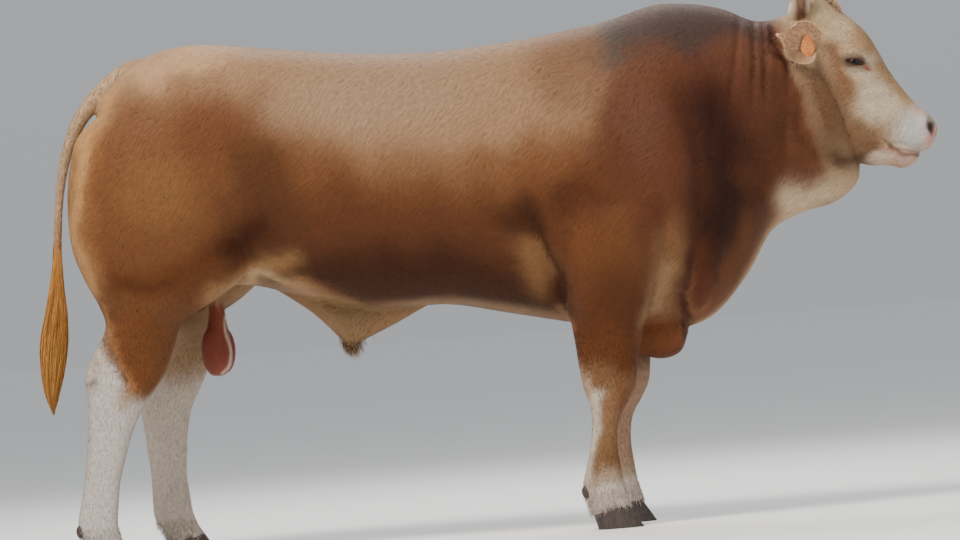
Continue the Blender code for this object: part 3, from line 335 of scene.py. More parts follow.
def ring_mesh(rings):
    """Closed shell over rings (rings, sides, 3): two triangles between each two neighbours on
    neighbouring rings, and a fan to the middle of the first and of the last ring."""
    n, m, _ = rings.shape
    i, j = np.meshgrid(np.arange(n - 1), np.arange(m), indexing="ij")
    a, b = i * m + j, i * m + (j + 1) % m
    between = np.concatenate([np.stack([a, b, b + m], -1), np.stack([a, b + m, a + m], -1)])
    k = np.arange(m)
    first = np.stack([(k + 1) % m, k, np.full(m, n * m)], -1)
    last = np.stack([(n - 1) * m + k, (n - 1) * m + (k + 1) % m, np.full(m, n * m + 1)], -1)
    points = np.vstack([rings.reshape(-1, 3), rings[0].mean(axis=0), rings[-1].mean(axis=0)])
    return points, outward(points, np.vstack([between.reshape(-1, 3), first, last]))


def superellipse(angle, square):
    """Cosine and sine with their size raised to 2 / square: 2 is an ellipse, more is squarer."""
    c, s = np.cos(angle), np.sin(angle)
    return np.sign(c) * np.abs(c) ** (2 / square), np.sign(s) * np.abs(s) ** (2 / square)


def section_loft(stations, sides=96, steps=16):
    """Sections from a ventral to a dorsal point: the width is a superellipse's cosine, the rise
    its sine, scaled to reach the dorsal point above the widest level and the ventral one below."""
    flat = [(*dorsal, *ventral, *rest) for dorsal, ventral, *rest in stations]
    dx, dz, vx, vz, half, wide, up, down = (v[:, None] for v in through(flat, steps).T)
    angle = round_angles(sides)[None]
    upper = np.sin(angle) >= 0
    (cu, su), (cd, sd) = superellipse(angle, up), superellipse(angle, down)
    across = np.where(upper, cu, cd) * half
    rise = np.where(upper, wide + (1 - wide) * su, wide + wide * sd)
    return ring_mesh(np.stack([vx + (dx - vx) * rise, across, vz + (dz - vz) * rise], -1))


def level_loft(stations, side, reach=0.0, top=1.0, run=1.0, sides=72, steps=12):
    """Level superellipses; below `top` they move forward in step with depth, by `reach` at most."""
    z, front, rear, y, half, square = (v[:, None] for v in through(stations, steps).T)
    angle = round_angles(sides)[None]
    c, s = superellipse(angle, square)
    ahead = reach * np.clip((top - z) / run, 0, 1)
    x = (front + rear) / 2 + (front - rear) / 2 * c + ahead
    return ring_mesh(np.stack([x, side * y + half * s, z + 0 * s], -1))


def tube(line, radii, sides=32, steps=10):
    """Circles across a smooth curve: cosine times one direction across it, sine times the other."""
    rows = through(np.c_[line, radii], steps)
    centres, radius = rows[:, :3], rows[:, 3]
    along = np.gradient(centres, axis=0)
    along /= np.linalg.norm(along, axis=1)[:, None]
    guide = np.array((0.3, 0.9, 0.1) if abs(along[0, 1]) < 0.5 else (0.9, 0.1, 0.3))
    u = np.cross(along, guide)
    u /= np.linalg.norm(u, axis=1)[:, None]
    v = np.cross(along, u)
    angle = round_angles(sides)[None, :, None]
    ring = np.cos(angle) * u[:, None] + np.sin(angle) * v[:, None]
    return ring_mesh(centres[:, None] + radius[:, None, None] * ring)


def ball(centre, radii, sides=40, rings=24):
    """Ellipsoid: each radius times the sine or cosine of latitude and longitude."""
    latitude = np.linspace(0.06, math.pi - 0.06, rings)[:, None]
    longitude = round_angles(sides)[None]
    x, y = np.sin(latitude) * np.cos(longitude), np.sin(latitude) * np.sin(longitude)
    unit = np.stack([x, y, np.cos(latitude) + 0 * longitude], -1)
    return ring_mesh(np.asarray(centre) + unit * radii)


print("a smooth curve through the trunk's rows has", len(through([r[0] for r in TRUNK], 16)), "points")

# %% [markdown]
# The lofts overlap like lumps of clay. A voxel remesh turns them into one closed surface on a
# fine grid, which is how the skin gets no seam at neck or shoulder. The grid leaves small steps,
# so the surface is faired: it shrinks and swells by turns, which smooths it and keeps its size.

# %% Growing the flesh together
VOXEL = 0.0036
FAIR_ROUNDS = 16
PULL, PUSH = 0.55, -0.57


def fill_mesh(mesh, points, faces):
    """Puts arrays of points and of equal-sided faces into an empty mesh."""
    sides = faces.shape[1]
    mesh.vertices.add(len(points))
    mesh.vertices.foreach_set("co", np.ascontiguousarray(points, np.float32).ravel())
    mesh.loops.add(faces.size)
    mesh.loops.foreach_set("vertex_index", np.ascontiguousarray(faces, np.int32).ravel())
    mesh.polygons.add(len(faces))
    mesh.polygons.foreach_set("loop_start", np.arange(0, faces.size, sides, dtype=np.int32))
    mesh.update(calc_edges=True)


def joined(shells):
    """Shells as one array of points and one of faces, the faces counted on from shell to shell."""
    starts = np.cumsum([0] + [len(points) for points, _ in shells[:-1]])
    return np.vstack([p for p, _ in shells]), np.vstack([f + s for (_, f), s in zip(shells, starts)])


def read_vectors(items, key):
    """One vector of each item of a mesh, as an array (items, 3)."""
    flat = np.empty(len(items) * 3, np.float32)
    items.foreach_get(key, flat)
    return flat.reshape(-1, 3).astype(float)


def coordinates(mesh):
    """The places of the mesh's points."""
    return read_vectors(mesh.vertices, "co")


def vertex_normals(mesh):
    """The normals at the mesh's points."""
    return read_vectors(mesh.vertex_normals, "vector")


def place_points(mesh, points):
    """Moves the mesh's points to these places."""
    mesh.vertices.foreach_set("co", np.ascontiguousarray(points, np.float32).ravel())
    mesh.update()


def applied(obj):
    """The object with its modifiers made part of its mesh."""
    bpy.context.view_layer.update()
    evaluated = obj.evaluated_get(bpy.context.evaluated_depsgraph_get())
    mesh = bpy.data.meshes.new_from_object(evaluated)
    obj.modifiers.clear()
    obj.data = mesh
    return obj


def remeshed(name, shells, voxel):
    """The shells as one object, remeshed on a grid of this size."""
    mesh = bpy.data.meshes.new(name)
    fill_mesh(mesh, *joined(shells))
    obj = put(name, mesh)
    remesh = obj.modifiers.new("Remesh", "REMESH")
    remesh.mode = "VOXEL"
    remesh.voxel_size = voxel
    remesh.adaptivity = 0.0
    return applied(obj)


def fair(mesh, rounds, share=1.0):
    """Moves each point towards the middle of its neighbours by PULL, then away by PUSH, in turns;
    share, one number or one for each point, says how much of each move is made."""
    ends = np.empty(len(mesh.edges) * 2, np.int32)
    mesh.edges.foreach_get("vertices", ends)
    a, b = np.r_[ends[0::2], ends[1::2]], np.r_[ends[1::2], ends[0::2]]
    points = coordinates(mesh)
    count = np.bincount(a, minlength=len(points))[:, None]
    for step in [PULL, PUSH] * rounds:
        total = np.stack([np.bincount(a, points[b, i], len(points)) for i in range(3)], axis=1)
        points += step * share * (total / count - points)
    place_points(mesh, points)


# %% [markdown]
# An ear of cattle is a leaf of gristle rolled into a funnel at its root. Its surface is worked
# out as a function of the way along the ear and the way across it, once for the outer face and
# once for the inner one, so the leaf has a true thickness all round its edge.

# %% Ears
EAR_ROOT, EAR_TIP = np.array((0.748, 0.104, 1.430)), np.array((0.622, 0.236, 1.470))
EAR_FACE = np.array((0.26, 0.95, -0.16))  # the way the cup opens
EAR_HALF = 0.060
EAR_THICK_ROOT, EAR_THICK_TIP = 0.0110, 0.0075

ear_length = np.linalg.norm(EAR_TIP - EAR_ROOT)
ear_axis = (EAR_TIP - EAR_ROOT) / ear_length
ear_face = EAR_FACE - ear_axis * (EAR_FACE @ ear_axis)
ear_face /= np.linalg.norm(ear_face)
ear_across = np.cross(ear_axis, ear_face)


def ear_points(u, v, layer):
    """Left ear at u from root to tip and v from edge to edge: an arc whose half width is a
    sine that fades at both ends and whose turn opens from 128 to 58 degrees on each side."""
    t = np.clip(u, 0, 1)
    half = EAR_HALF * np.sin(math.pi * t ** 0.88).clip(0) ** 1.6 + 0.010 - 0.0065 * t
    curl = np.radians(128 - 70 * np.minimum(1, 1.6 * t))
    radius = half / np.sin(np.minimum(curl, math.pi / 2))
    thick = EAR_THICK_ROOT + (EAR_THICK_TIP - EAR_THICK_ROOT) * t
    out = radius + layer * thick * (1 - 0.45 * np.abs(v) ** 3)
    lift = np.minimum(radius, 0.050) - 0.012 * np.sin(math.pi * t) - out * np.cos(curl * v)
    along = (u * ear_length)[..., None] * ear_axis
    return EAR_ROOT + along + (out * np.sin(curl * v))[..., None] * ear_across + lift[..., None] * ear_face


def ear_shell(side):
    """Outer and inner face of an ear, joined at their edges into one closed shell."""
    u, v = np.linspace(-0.12, 1.0, 60)[:, None], np.linspace(-1, 1, 48)[None]
    u, v = np.broadcast_arrays(u, v)
    outer, inner = ear_points(u, v, 0.5), ear_points(u, v, -0.5)
    return ring_mesh(np.concatenate([outer, inner[:, ::-1]], axis=1) * (1, side, 1))


print("each ear is", round(ear_length, 3), "m long")

# %% [markdown]
# Trunk, head, jaw, brisket, sheath, legs, scrotum, tail and ears are lofted and grown together.
# Balls stand for the rim of the eye socket and for the muscle at the root of an ear.

# %% The grown skin
EAR_BASE, EAR_BASE_RADII = (0.764, 0.084, 1.424), (0.040, 0.034, 0.042)
ORBIT, ORBIT_RADII = (0.864, 0.092, 1.382), (0.048, 0.030, 0.040)
SCROTUM_LOBES = [((-1.152, 0.030, 0.640), (0.040, 0.034, 0.078)),
                 ((-1.178, -0.030, 0.640), (0.044, 0.036, 0.080))]

lofts = [section_loft(rows) for rows in (TRUNK, HEAD, JAW, BRISKET, SHEATH)]
for side, hind, fore in ((-1, 0.0, 0.0), (1, HIND_SHIFT, FORE_SHIFT)):
    lofts.append(level_loft(HIND_LEG, side, hind, HIND_SHIFT_TOP, HIND_RUN))
    lofts.append(level_loft(FORE_LEG, side, fore, FORE_SHIFT_TOP, FORE_RUN))
    lofts.append(ball(np.array(ORBIT) * (1, side, 1), ORBIT_RADII))
    lofts.append(ball(np.array(EAR_BASE) * (1, side, 1), EAR_BASE_RADII))
    lofts.append(ear_shell(side))
lofts.append(level_loft(SCROTUM, 1))
lofts += [ball(*row) for row in SCROTUM_LOBES]
lofts.append(tube([(x, 0.0, z) for x, z, _ in TAIL], [radius for _, _, radius in TAIL]))
skin = remeshed("skin", lofts, VOXEL)
fair(skin.data, FAIR_ROUNDS)
print("the grown skin has", len(skin.data.vertices), "points")

# %% [markdown]
# Muscles, folds and hollows are then pushed out of the smooth skin or into it, along its
# normals. A swelling is a bell curve in three directions; a fold is a groove along a curve seen
# from the side, as deep as a bell curve of the distance from it, and it fades at both its ends.

# %% Relief of the body
BODY_MOUNDS = [
    ((0.1, 0.36, 1.02), (0.17, 0.2, 0.2), 0.016),       # shoulder
    ((-0.02, 0.35, 0.86), (0.1, 0.2, 0.12), 0.014),      # upper arm
    ((-1.22, 0.34, 1.15), (0.2, 0.2, 0.22), 0.014),      # thigh
    ((-1.45, 0.25, 1.1), (0.12, 0.2, 0.22), 0.01),      # buttock
    ((-0.98, 0.26, 1.52), (0.1, 0.08, 0.06), 0.008),      # hip bone
    ((-0.9, 0.33, 1.2), (0.14, 0.2, 0.16), -0.012),     # hollow of the flank
    ((0.1, 0.22, 0.62), (0.05, 0.1, 0.09), 0.004),       # muscle of the forearm
    ((0.335, 0.1, 0.725), (0.035, 0.1, 0.05), 0.008),   # bulge low on the neck
    ((-1.34, 0.24, 0.74), (0.06, 0.1, 0.08), 0.004),      # calf
    ((-1.545, 0.18, 0.6), (0.03, 0.06, 0.045), 0.005),  # point of the hock
]
BODY_CREASES = [
    ([(-0.2, 1.06), (-0.145, 0.9), (-0.095, 0.74), (-0.07, 0.6)], 0.03, 0.022),
    ([(0.3, 1.34), (0.36, 1.18), (0.362, 1.00), (0.335, 0.8), (0.28, 0.6)], 0.036, 0.022),
    ([(0.22, 1.02), (0.235, 0.88), (0.215, 0.72), (0.17, 0.58)], 0.026, 0.01),
    ([(-1.02, 0.8), (-1.06, 0.95), (-1.08, 1.12)], 0.045, 0.016),
    ([(-1.39, 1.32), (-1.42, 1.1), (-1.43, 0.9)], 0.035, 0.008),
    ([(-0.03, 1.06), (0.05, 1.00), (0.16, 0.98)], 0.02, 0.005),
    ([(-1.25, 0.86), (-1.36, 0.83), (-1.46, 0.87)], 0.022, 0.005),
    ([(-1.13, 0.9), (-1.22, 0.8), (-1.275, 0.7)], 0.016, 0.006),
    ([(-1.53, 0.72), (-1.5, 0.66), (-1.46, 0.6)], 0.014, 0.006),
    ([(-1.575, 0.48), (-1.585, 0.36), (-1.6, 0.22)], 0.01, 0.004),
    ([(-0.03, 0.34), (-0.03, 0.26), (-0.045, 0.18)], 0.009, 0.004),
    ([(0.245, 0.7), (0.285, 0.66), (0.275, 0.56)], 0.012, 0.01),
    ([(-0.66, 0.8), (-0.76, 0.74), (-0.9, 0.8)], 0.018, 0.005),
]
NECK_CREASES = [
    ([(0.615, 1.54), (0.622, 1.46), (0.655, 1.39), (0.65, 1.28)], 0.013, 0.013),
    ([(0.566, 1.62), (0.556, 1.44), (0.53, 1.24)], 0.011, 0.007),
    ([(0.594, 1.62), (0.59, 1.44), (0.572, 1.24)], 0.011, 0.007),
    ([(0.53, 1.62), (0.5, 1.44), (0.455, 1.24)], 0.011, 0.006),
    ([(0.47, 1.02), (0.45, 0.86), (0.4, 0.74)], 0.022, 0.01),
    ([(0.56, 1.1), (0.54, 0.96)], 0.022, 0.008),
    ([(0.64, 1.22), (0.62, 1.08), (0.6, 0.98)], 0.018, 0.006),
    ([(0.42, 1.3), (0.4, 1.14), (0.395, 0.98)], 0.016, 0.005),
]


def folded(points):
    """The points with both sides laid on the left one."""
    return np.c_[points[:, 0], np.abs(points[:, 1]), points[:, 2]]


def mound(points, centre, radii, height):
    """Height times a bell curve of the distance from the centre, counted in radii."""
    return height * np.exp(-(((points - centre) / radii) ** 2).sum(axis=1))


def along_line(points, line):
    """Distance of each point (x, z) from a smooth line, and the way along it from 0 to 1."""
    curve = through(line, 4)
    nearest, place = np.full(len(points), np.inf), np.zeros(len(points))
    for i, (a, b) in enumerate(zip(curve[:-1], curve[1:])):
        t = np.clip((points - a) @ (b - a) / ((b - a) @ (b - a)), 0, 1)
        away = np.hypot(*(points - a - t[:, None] * (b - a)).T)
        closer = away < nearest
        nearest[closer], place[closer] = away[closer], (i + t[closer]) / (len(curve) - 1)
    return nearest, place


def crease(points, line, width, depth):
    """A groove along a line seen from the side: depth times a bell curve of the distance from
    it, times one minus the cube of the way to its nearer end."""
    flat, line = points[:, [0, 2]], np.array(line)
    margin = 3 * width
    near = ((flat > line.min(axis=0) - margin) & (flat < line.max(axis=0) + margin)).all(axis=1)
    height = np.zeros(len(points))
    away, place = along_line(flat[near], line)
    height[near] = -depth * np.exp(-(away / width) ** 2) * (1 - np.abs(2 * place - 1) ** 3)
    return height


def relief(points, mounds, creases):
    """The sum of the heights of all swellings and folds."""
    return sum(mound(points, *row) for row in mounds) + sum(crease(points, *row) for row in creases)


def facing_side(outside):
    """How far the skin faces sideways: 1.5 times the size of its normal's y, at most 1."""
    return np.clip(np.abs(outside[:, 1]) * 1.5, 0, 1)


def body_relief(points, outside):
    """Muscles and folds, and the groove of the spine from the loin to the withers."""
    p = folded(points)
    height = relief(p, BODY_MOUNDS, []) + facing_side(outside) * relief(p, [], BODY_CREASES + NECK_CREASES)
    spine = np.exp(-(p[:, 1] / 0.035) ** 2) * np.clip(outside[:, 2], 0, 1)
    back = np.clip((p[:, 0] + 1.35) / 0.2, 0, 1) * np.clip(-p[:, 0] / 0.3, 0, 1)
    return height - 0.007 * spine * back


print(len(BODY_MOUNDS), "swellings and", len(BODY_CREASES) + len(NECK_CREASES), "folds on body and neck")

# %% [markdown]
# The head gets the most care. Brow, tear pit, cheek and both lips are swellings, and shallow
# folds run round the cheek, behind the muzzle and over the eye. These forms are made while the
# skin is still fine; the narrow ones, such as the mouth, wait for the next step.

# %% Relief of the head
HEAD_MOUNDS = [
    ((0.862, 0.115, 1.412), (0.044, 0.05, 0.016), 0.009),     # brow
    ((0.85, 0.12, 1.348), (0.04, 0.05, 0.01), 0.004),     # bag under the eye
    ((0.925, 0.1, 1.345), (0.035, 0.06, 0.022), -0.005),    # tear pit before the eye
    ((0.77, 0.11, 1.22), (0.075, 0.1, 0.085), 0.012),     # cheek
    ((0.905, 0.095, 1.27), (0.06, 0.08, 0.016), 0.005),     # ridge below the eye
    ((1.06, 0.07, 1.11), (0.03, 0.03, 0.02), 0.004),     # upper lip
    ((1.068, 0.07, 1.168), (0.012, 0.02, 0.026), 0.006),     # wing of the nostril
    ((0.985, 0.045, 1.062), (0.035, 0.04, 0.018), 0.004),     # lower lip
]
HEAD_CREASES = [
    ([(0.8, 1.37), (0.83, 1.27), (0.9, 1.2)], 0.022, 0.006),
    ([(0.69, 1.3), (0.68, 1.16), (0.76, 1.06), (0.85, 1.06)], 0.02, 0.01),
]


def head_relief(points, outside):
    """Swellings of the head, and folds on its sides only."""
    p = folded(points)
    side = facing_side(outside) * (p[:, 1] > 0.03)
    return relief(p, HEAD_MOUNDS, []) + side * relief(p, [], HEAD_CREASES)


points, outside = coordinates(skin.data), vertex_normals(skin.data)
height = body_relief(points, outside) + head_relief(points, outside)
place_points(skin.data, points + outside * height[:, None])
fair(skin.data, 1)
print("relief from", round(height.min(), 4), "to", round(height.max(), 4), "m")

# %% [markdown]
# The skin now has far more faces than it needs on the trunk. Decimate joins those on its broad,
# smooth parts, while a vertex group keeps the head finer and the places round eyes, nostrils and
# mouth whole. There each face is then split once, so that lids and lips get clean edges.

# %% Faces where they count
SKIN_TRIANGLES = 150_000
NOSTRIL = (1.088, 0.056, 1.158)
LIPS = [(0.930, 1.132), (0.950, 1.112), (0.975, 1.096), (1.010, 1.086), (1.043, 1.081), (1.120, 1.082)]


def on_head(points):
    """1 on the head, 0 on the neck and behind it, with a soft step between."""
    edge = 0.700 - 0.25 * (points[:, 2] - 1.30)
    return np.clip((points[:, 0] - edge) / 0.06 + 0.5, 0, 1) * (points[:, 2] > 0.95)


def fine_places(points):
    """True near the line of the mouth, the eyes and the nostrils."""
    p = folded(points)
    mouth = (p[:, 0] > 0.90) & (p[:, 2] > 1.04) & (p[:, 2] < 1.16)
    mouth[mouth] = along_line(p[mouth][:, [0, 2]], LIPS)[0] < 0.014
    eye = np.linalg.norm(p - EYE, axis=1) < 0.042
    return mouth | eye | (np.linalg.norm(p - NOSTRIL, axis=1) < 0.034)


def thin(obj, triangles):
    """Decimate's collapse; the group's weight is 0 where no edge may go and 1 where any may."""
    points = coordinates(obj.data)
    weight = np.where(fine_places(points), 0.0, 1.0 - 0.30 * on_head(points))
    group = obj.vertex_groups.new(name="thinning")
    for value in np.unique(np.round(weight, 2)):
        group.add(np.flatnonzero(np.round(weight, 2) == value).tolist(), float(value), "REPLACE")
    decimate = obj.modifiers.new("Decimate", "DECIMATE")
    decimate.ratio = triangles / (2 * len(obj.data.polygons))
    decimate.use_collapse_triangulate = True
    decimate.vertex_group = group.name
    decimate.vertex_group_factor = 0.0005
    applied(obj)
    obj.vertex_groups.clear()


def split_fine_places(mesh):
    """Splits the edges inside the fine places once and fairs the points there."""
    work = bmesh.new()
    work.from_mesh(mesh)
    inside = fine_places(np.array([v.co for v in work.verts]))
    edges = [e for e in work.edges if inside[e.verts[0].index] and inside[e.verts[1].index]]
    bmesh.ops.subdivide_edges(work, edges=edges, cuts=1, use_grid_fill=True)
    bmesh.ops.triangulate(work, faces=work.faces)
    work.to_mesh(mesh)
    work.free()
    fair(mesh, 2, fine_places(coordinates(mesh))[:, None].astype(float))


thin(skin, SKIN_TRIANGLES)
split_fine_places(skin.data)
print("the skin has", len(skin.data.polygons), "triangles,",
      int(fine_places(coordinates(skin.data)).sum()), "of its points in fine places")

# %% [markdown]
# The mouth is a narrow groove that ends in a corner with a few wrinkles. A nostril is a hollow
# whose tail curls up and back, with fine folds behind it. The lids lie on the eyeball like a
# second, slightly larger ball with an almond-shaped opening: near each eye the skin is raised to
# that ball, and within the almond it sinks behind the eyeball.

# %% Mouth, nostrils and lids
LIPS_WIDTH, LIPS_DEPTH = 0.0045, 0.0085
FINE_MOUNDS = [
    (NOSTRIL, (0.0105, 0.018, 0.0165), -0.026),
    ((1.078, 0.066, 1.172), (0.009, 0.012, 0.008), -0.008),    # tail of the nostril
    ((1.104, 0.050, 1.156), (0.007, 0.016, 0.018), 0.004),     # its front rim
]
FINE_CREASES = [
    ([(0.955, 1.19), (0.965, 1.155), (0.95, 1.115)], 0.007, 0.003),
    ([(0.978, 1.18), (0.99, 1.15), (0.978, 1.118)], 0.006, 0.0022),
    ([(0.835, 1.405), (0.865, 1.418), (0.9, 1.402)], 0.005, 0.003),
    ([(0.83, 1.352), (0.86, 1.338), (0.898, 1.342)], 0.005, 0.0025),
    ([(0.905, 1.1), (0.925, 1.085), (0.955, 1.078)], 0.009, 0.003),
    ([(0.888, 1.372), (0.902, 1.364), (0.915, 1.354)], 0.0035, 0.0035),  # inner corner of the eye
]
EYE_RADIUS, EYE_LONG = 0.0225, 0.0300     # the ball and its half length along the lids
LID_OVER = 0.0032                         # how far the lids stand over the eyeball
ALONG, ACROSS = np.array((0.96, 0.0, -0.28)), np.array((0.28, 0.0, 0.96))
ALMOND_LENGTH, ALMOND_UPPER, ALMOND_LOWER = 0.0290, 0.0085, 0.0098
SOCKET_DEPTH = 0.0065


def smooth_step(x, low, high):
    """0 below low, 1 above high, and t squared times (3 - 2 t) between them."""
    t = np.clip((x - low) / (high - low), 0, 1)
    return t * t * (3 - 2 * t)


def almond(u, v):
    """1 on the edge of the opening: the ellipse's radius, with its own height above and below."""
    return np.hypot(u / ALMOND_LENGTH, v / np.where(v > 0, ALMOND_UPPER, ALMOND_LOWER))


def with_lids(points):
    """In the frame of each eye (along the lids, up across them, out) the skin is the larger of
    itself and the lids' ball, less the socket's depth inside the almond, plus a soft rim."""
    away = folded(points) - EYE
    u, v, out = away @ ALONG, away @ ACROSS, away[:, 1]
    near = (np.hypot(u, v) < 0.040) & (out > -0.02)
    u, v, out = u[near], v[near], out[near]
    ball_long, ball_high = EYE_LONG + LID_OVER, EYE_RADIUS + LID_OVER
    cover = ball_high * np.sqrt(np.clip(1 - (u / ball_long) ** 2 - (v / ball_high) ** 2, 0, None))
    soft = 0.0016
    out = out + soft * np.logaddexp(0, (cover - out) / soft) * (cover > 0)
    edge = almond(u, v)
    out += 0.0018 * np.exp(-((edge - 1.28) / 0.20) ** 2)
    out -= SOCKET_DEPTH * (1 - smooth_step(edge, 0.86, 1.10))
    moved = points.copy()
    moved[near, 1] = np.sign(points[near, 1]) * (EYE[1] + out)
    return moved


points, outside = coordinates(skin.data), vertex_normals(skin.data)
side = facing_side(outside) * (np.abs(points[:, 1]) > 0.03)
height = relief(folded(points), FINE_MOUNDS, [(LIPS, LIPS_WIDTH, LIPS_DEPTH)])
height += side * relief(folded(points), [], FINE_CREASES)
place_points(skin.data, with_lids(points + outside * height[:, None]))
print("the lids open", round(1000 * (ALMOND_UPPER + ALMOND_LOWER), 1), "mm")

# %% [markdown]
# The coat has depth, so the bare skin lies a few millimetres inside the solids, less on the
# face and feet where the hair is short. Below the coronet the leg draws in and ends inside the
# hoof.

# %% Skin under the coat
COAT_DEPTH, FACE_DEPTH = 0.0030, 0.0012
CORONET_FRONT_Z, CORONET_REAR_Z, CORONET_LENGTH = 0.070, 0.040, 0.125
CORONET_RISE = (CORONET_FRONT_Z - CORONET_REAR_Z) / CORONET_LENGTH
FOOT_Z = 0.05                             # the height at which a far foot's shift is read
CORONET_FRONT = {"fore": 0.066, "hind": -1.492}
FOOT_MIDDLE = {"fore": (0.010, 0.190), "hind": (-1.540, 0.187)}


def foot_shift(end, side):
    """How far forward the foot of a far leg stands."""
    if side < 0:
        return 0.0
    return FORE_SHIFT if end == "fore" else HIND_SHIFT * (HIND_SHIFT_TOP - FOOT_Z) / HIND_RUN


def into_hooves(points):
    """Below the slanted plane of the coronet a foot shrinks towards its own middle."""
    moved = points.copy()
    for end, (middle_x, middle_y) in FOOT_MIDDLE.items():
        for side in (-1, 1):
            shift = foot_shift(end, side)
            front = CORONET_FRONT[end] + shift
            foot = (points[:, 2] < 0.12) & (np.abs(points[:, 0] - front + 0.06) < 0.2)
            foot &= np.sign(points[:, 1]) == side
            plane = CORONET_FRONT_Z + CORONET_RISE * (points[foot, 0] - front)
            inward = 0.42 * smooth_step(plane - points[foot, 2], -0.002, 0.014)
            middle = np.array((middle_x + shift, side * middle_y))
            moved[foot, :2] += (middle - points[foot, :2]) * inward[:, None]
    return moved


points, outside = coordinates(skin.data), vertex_normals(skin.data)
short = np.maximum(on_head(points), points[:, 2] < 0.35) * (~fine_places(points))
inset = COAT_DEPTH + (FACE_DEPTH - COAT_DEPTH) * short
inset[fine_places(points)] = 0.0
points = into_hooves(points - outside * inset[:, None])
place_points(skin.data, points)
skin.data.shade_smooth()
print("the skin's lowest point is", round(points[:, 2].min(), 4), "m up")
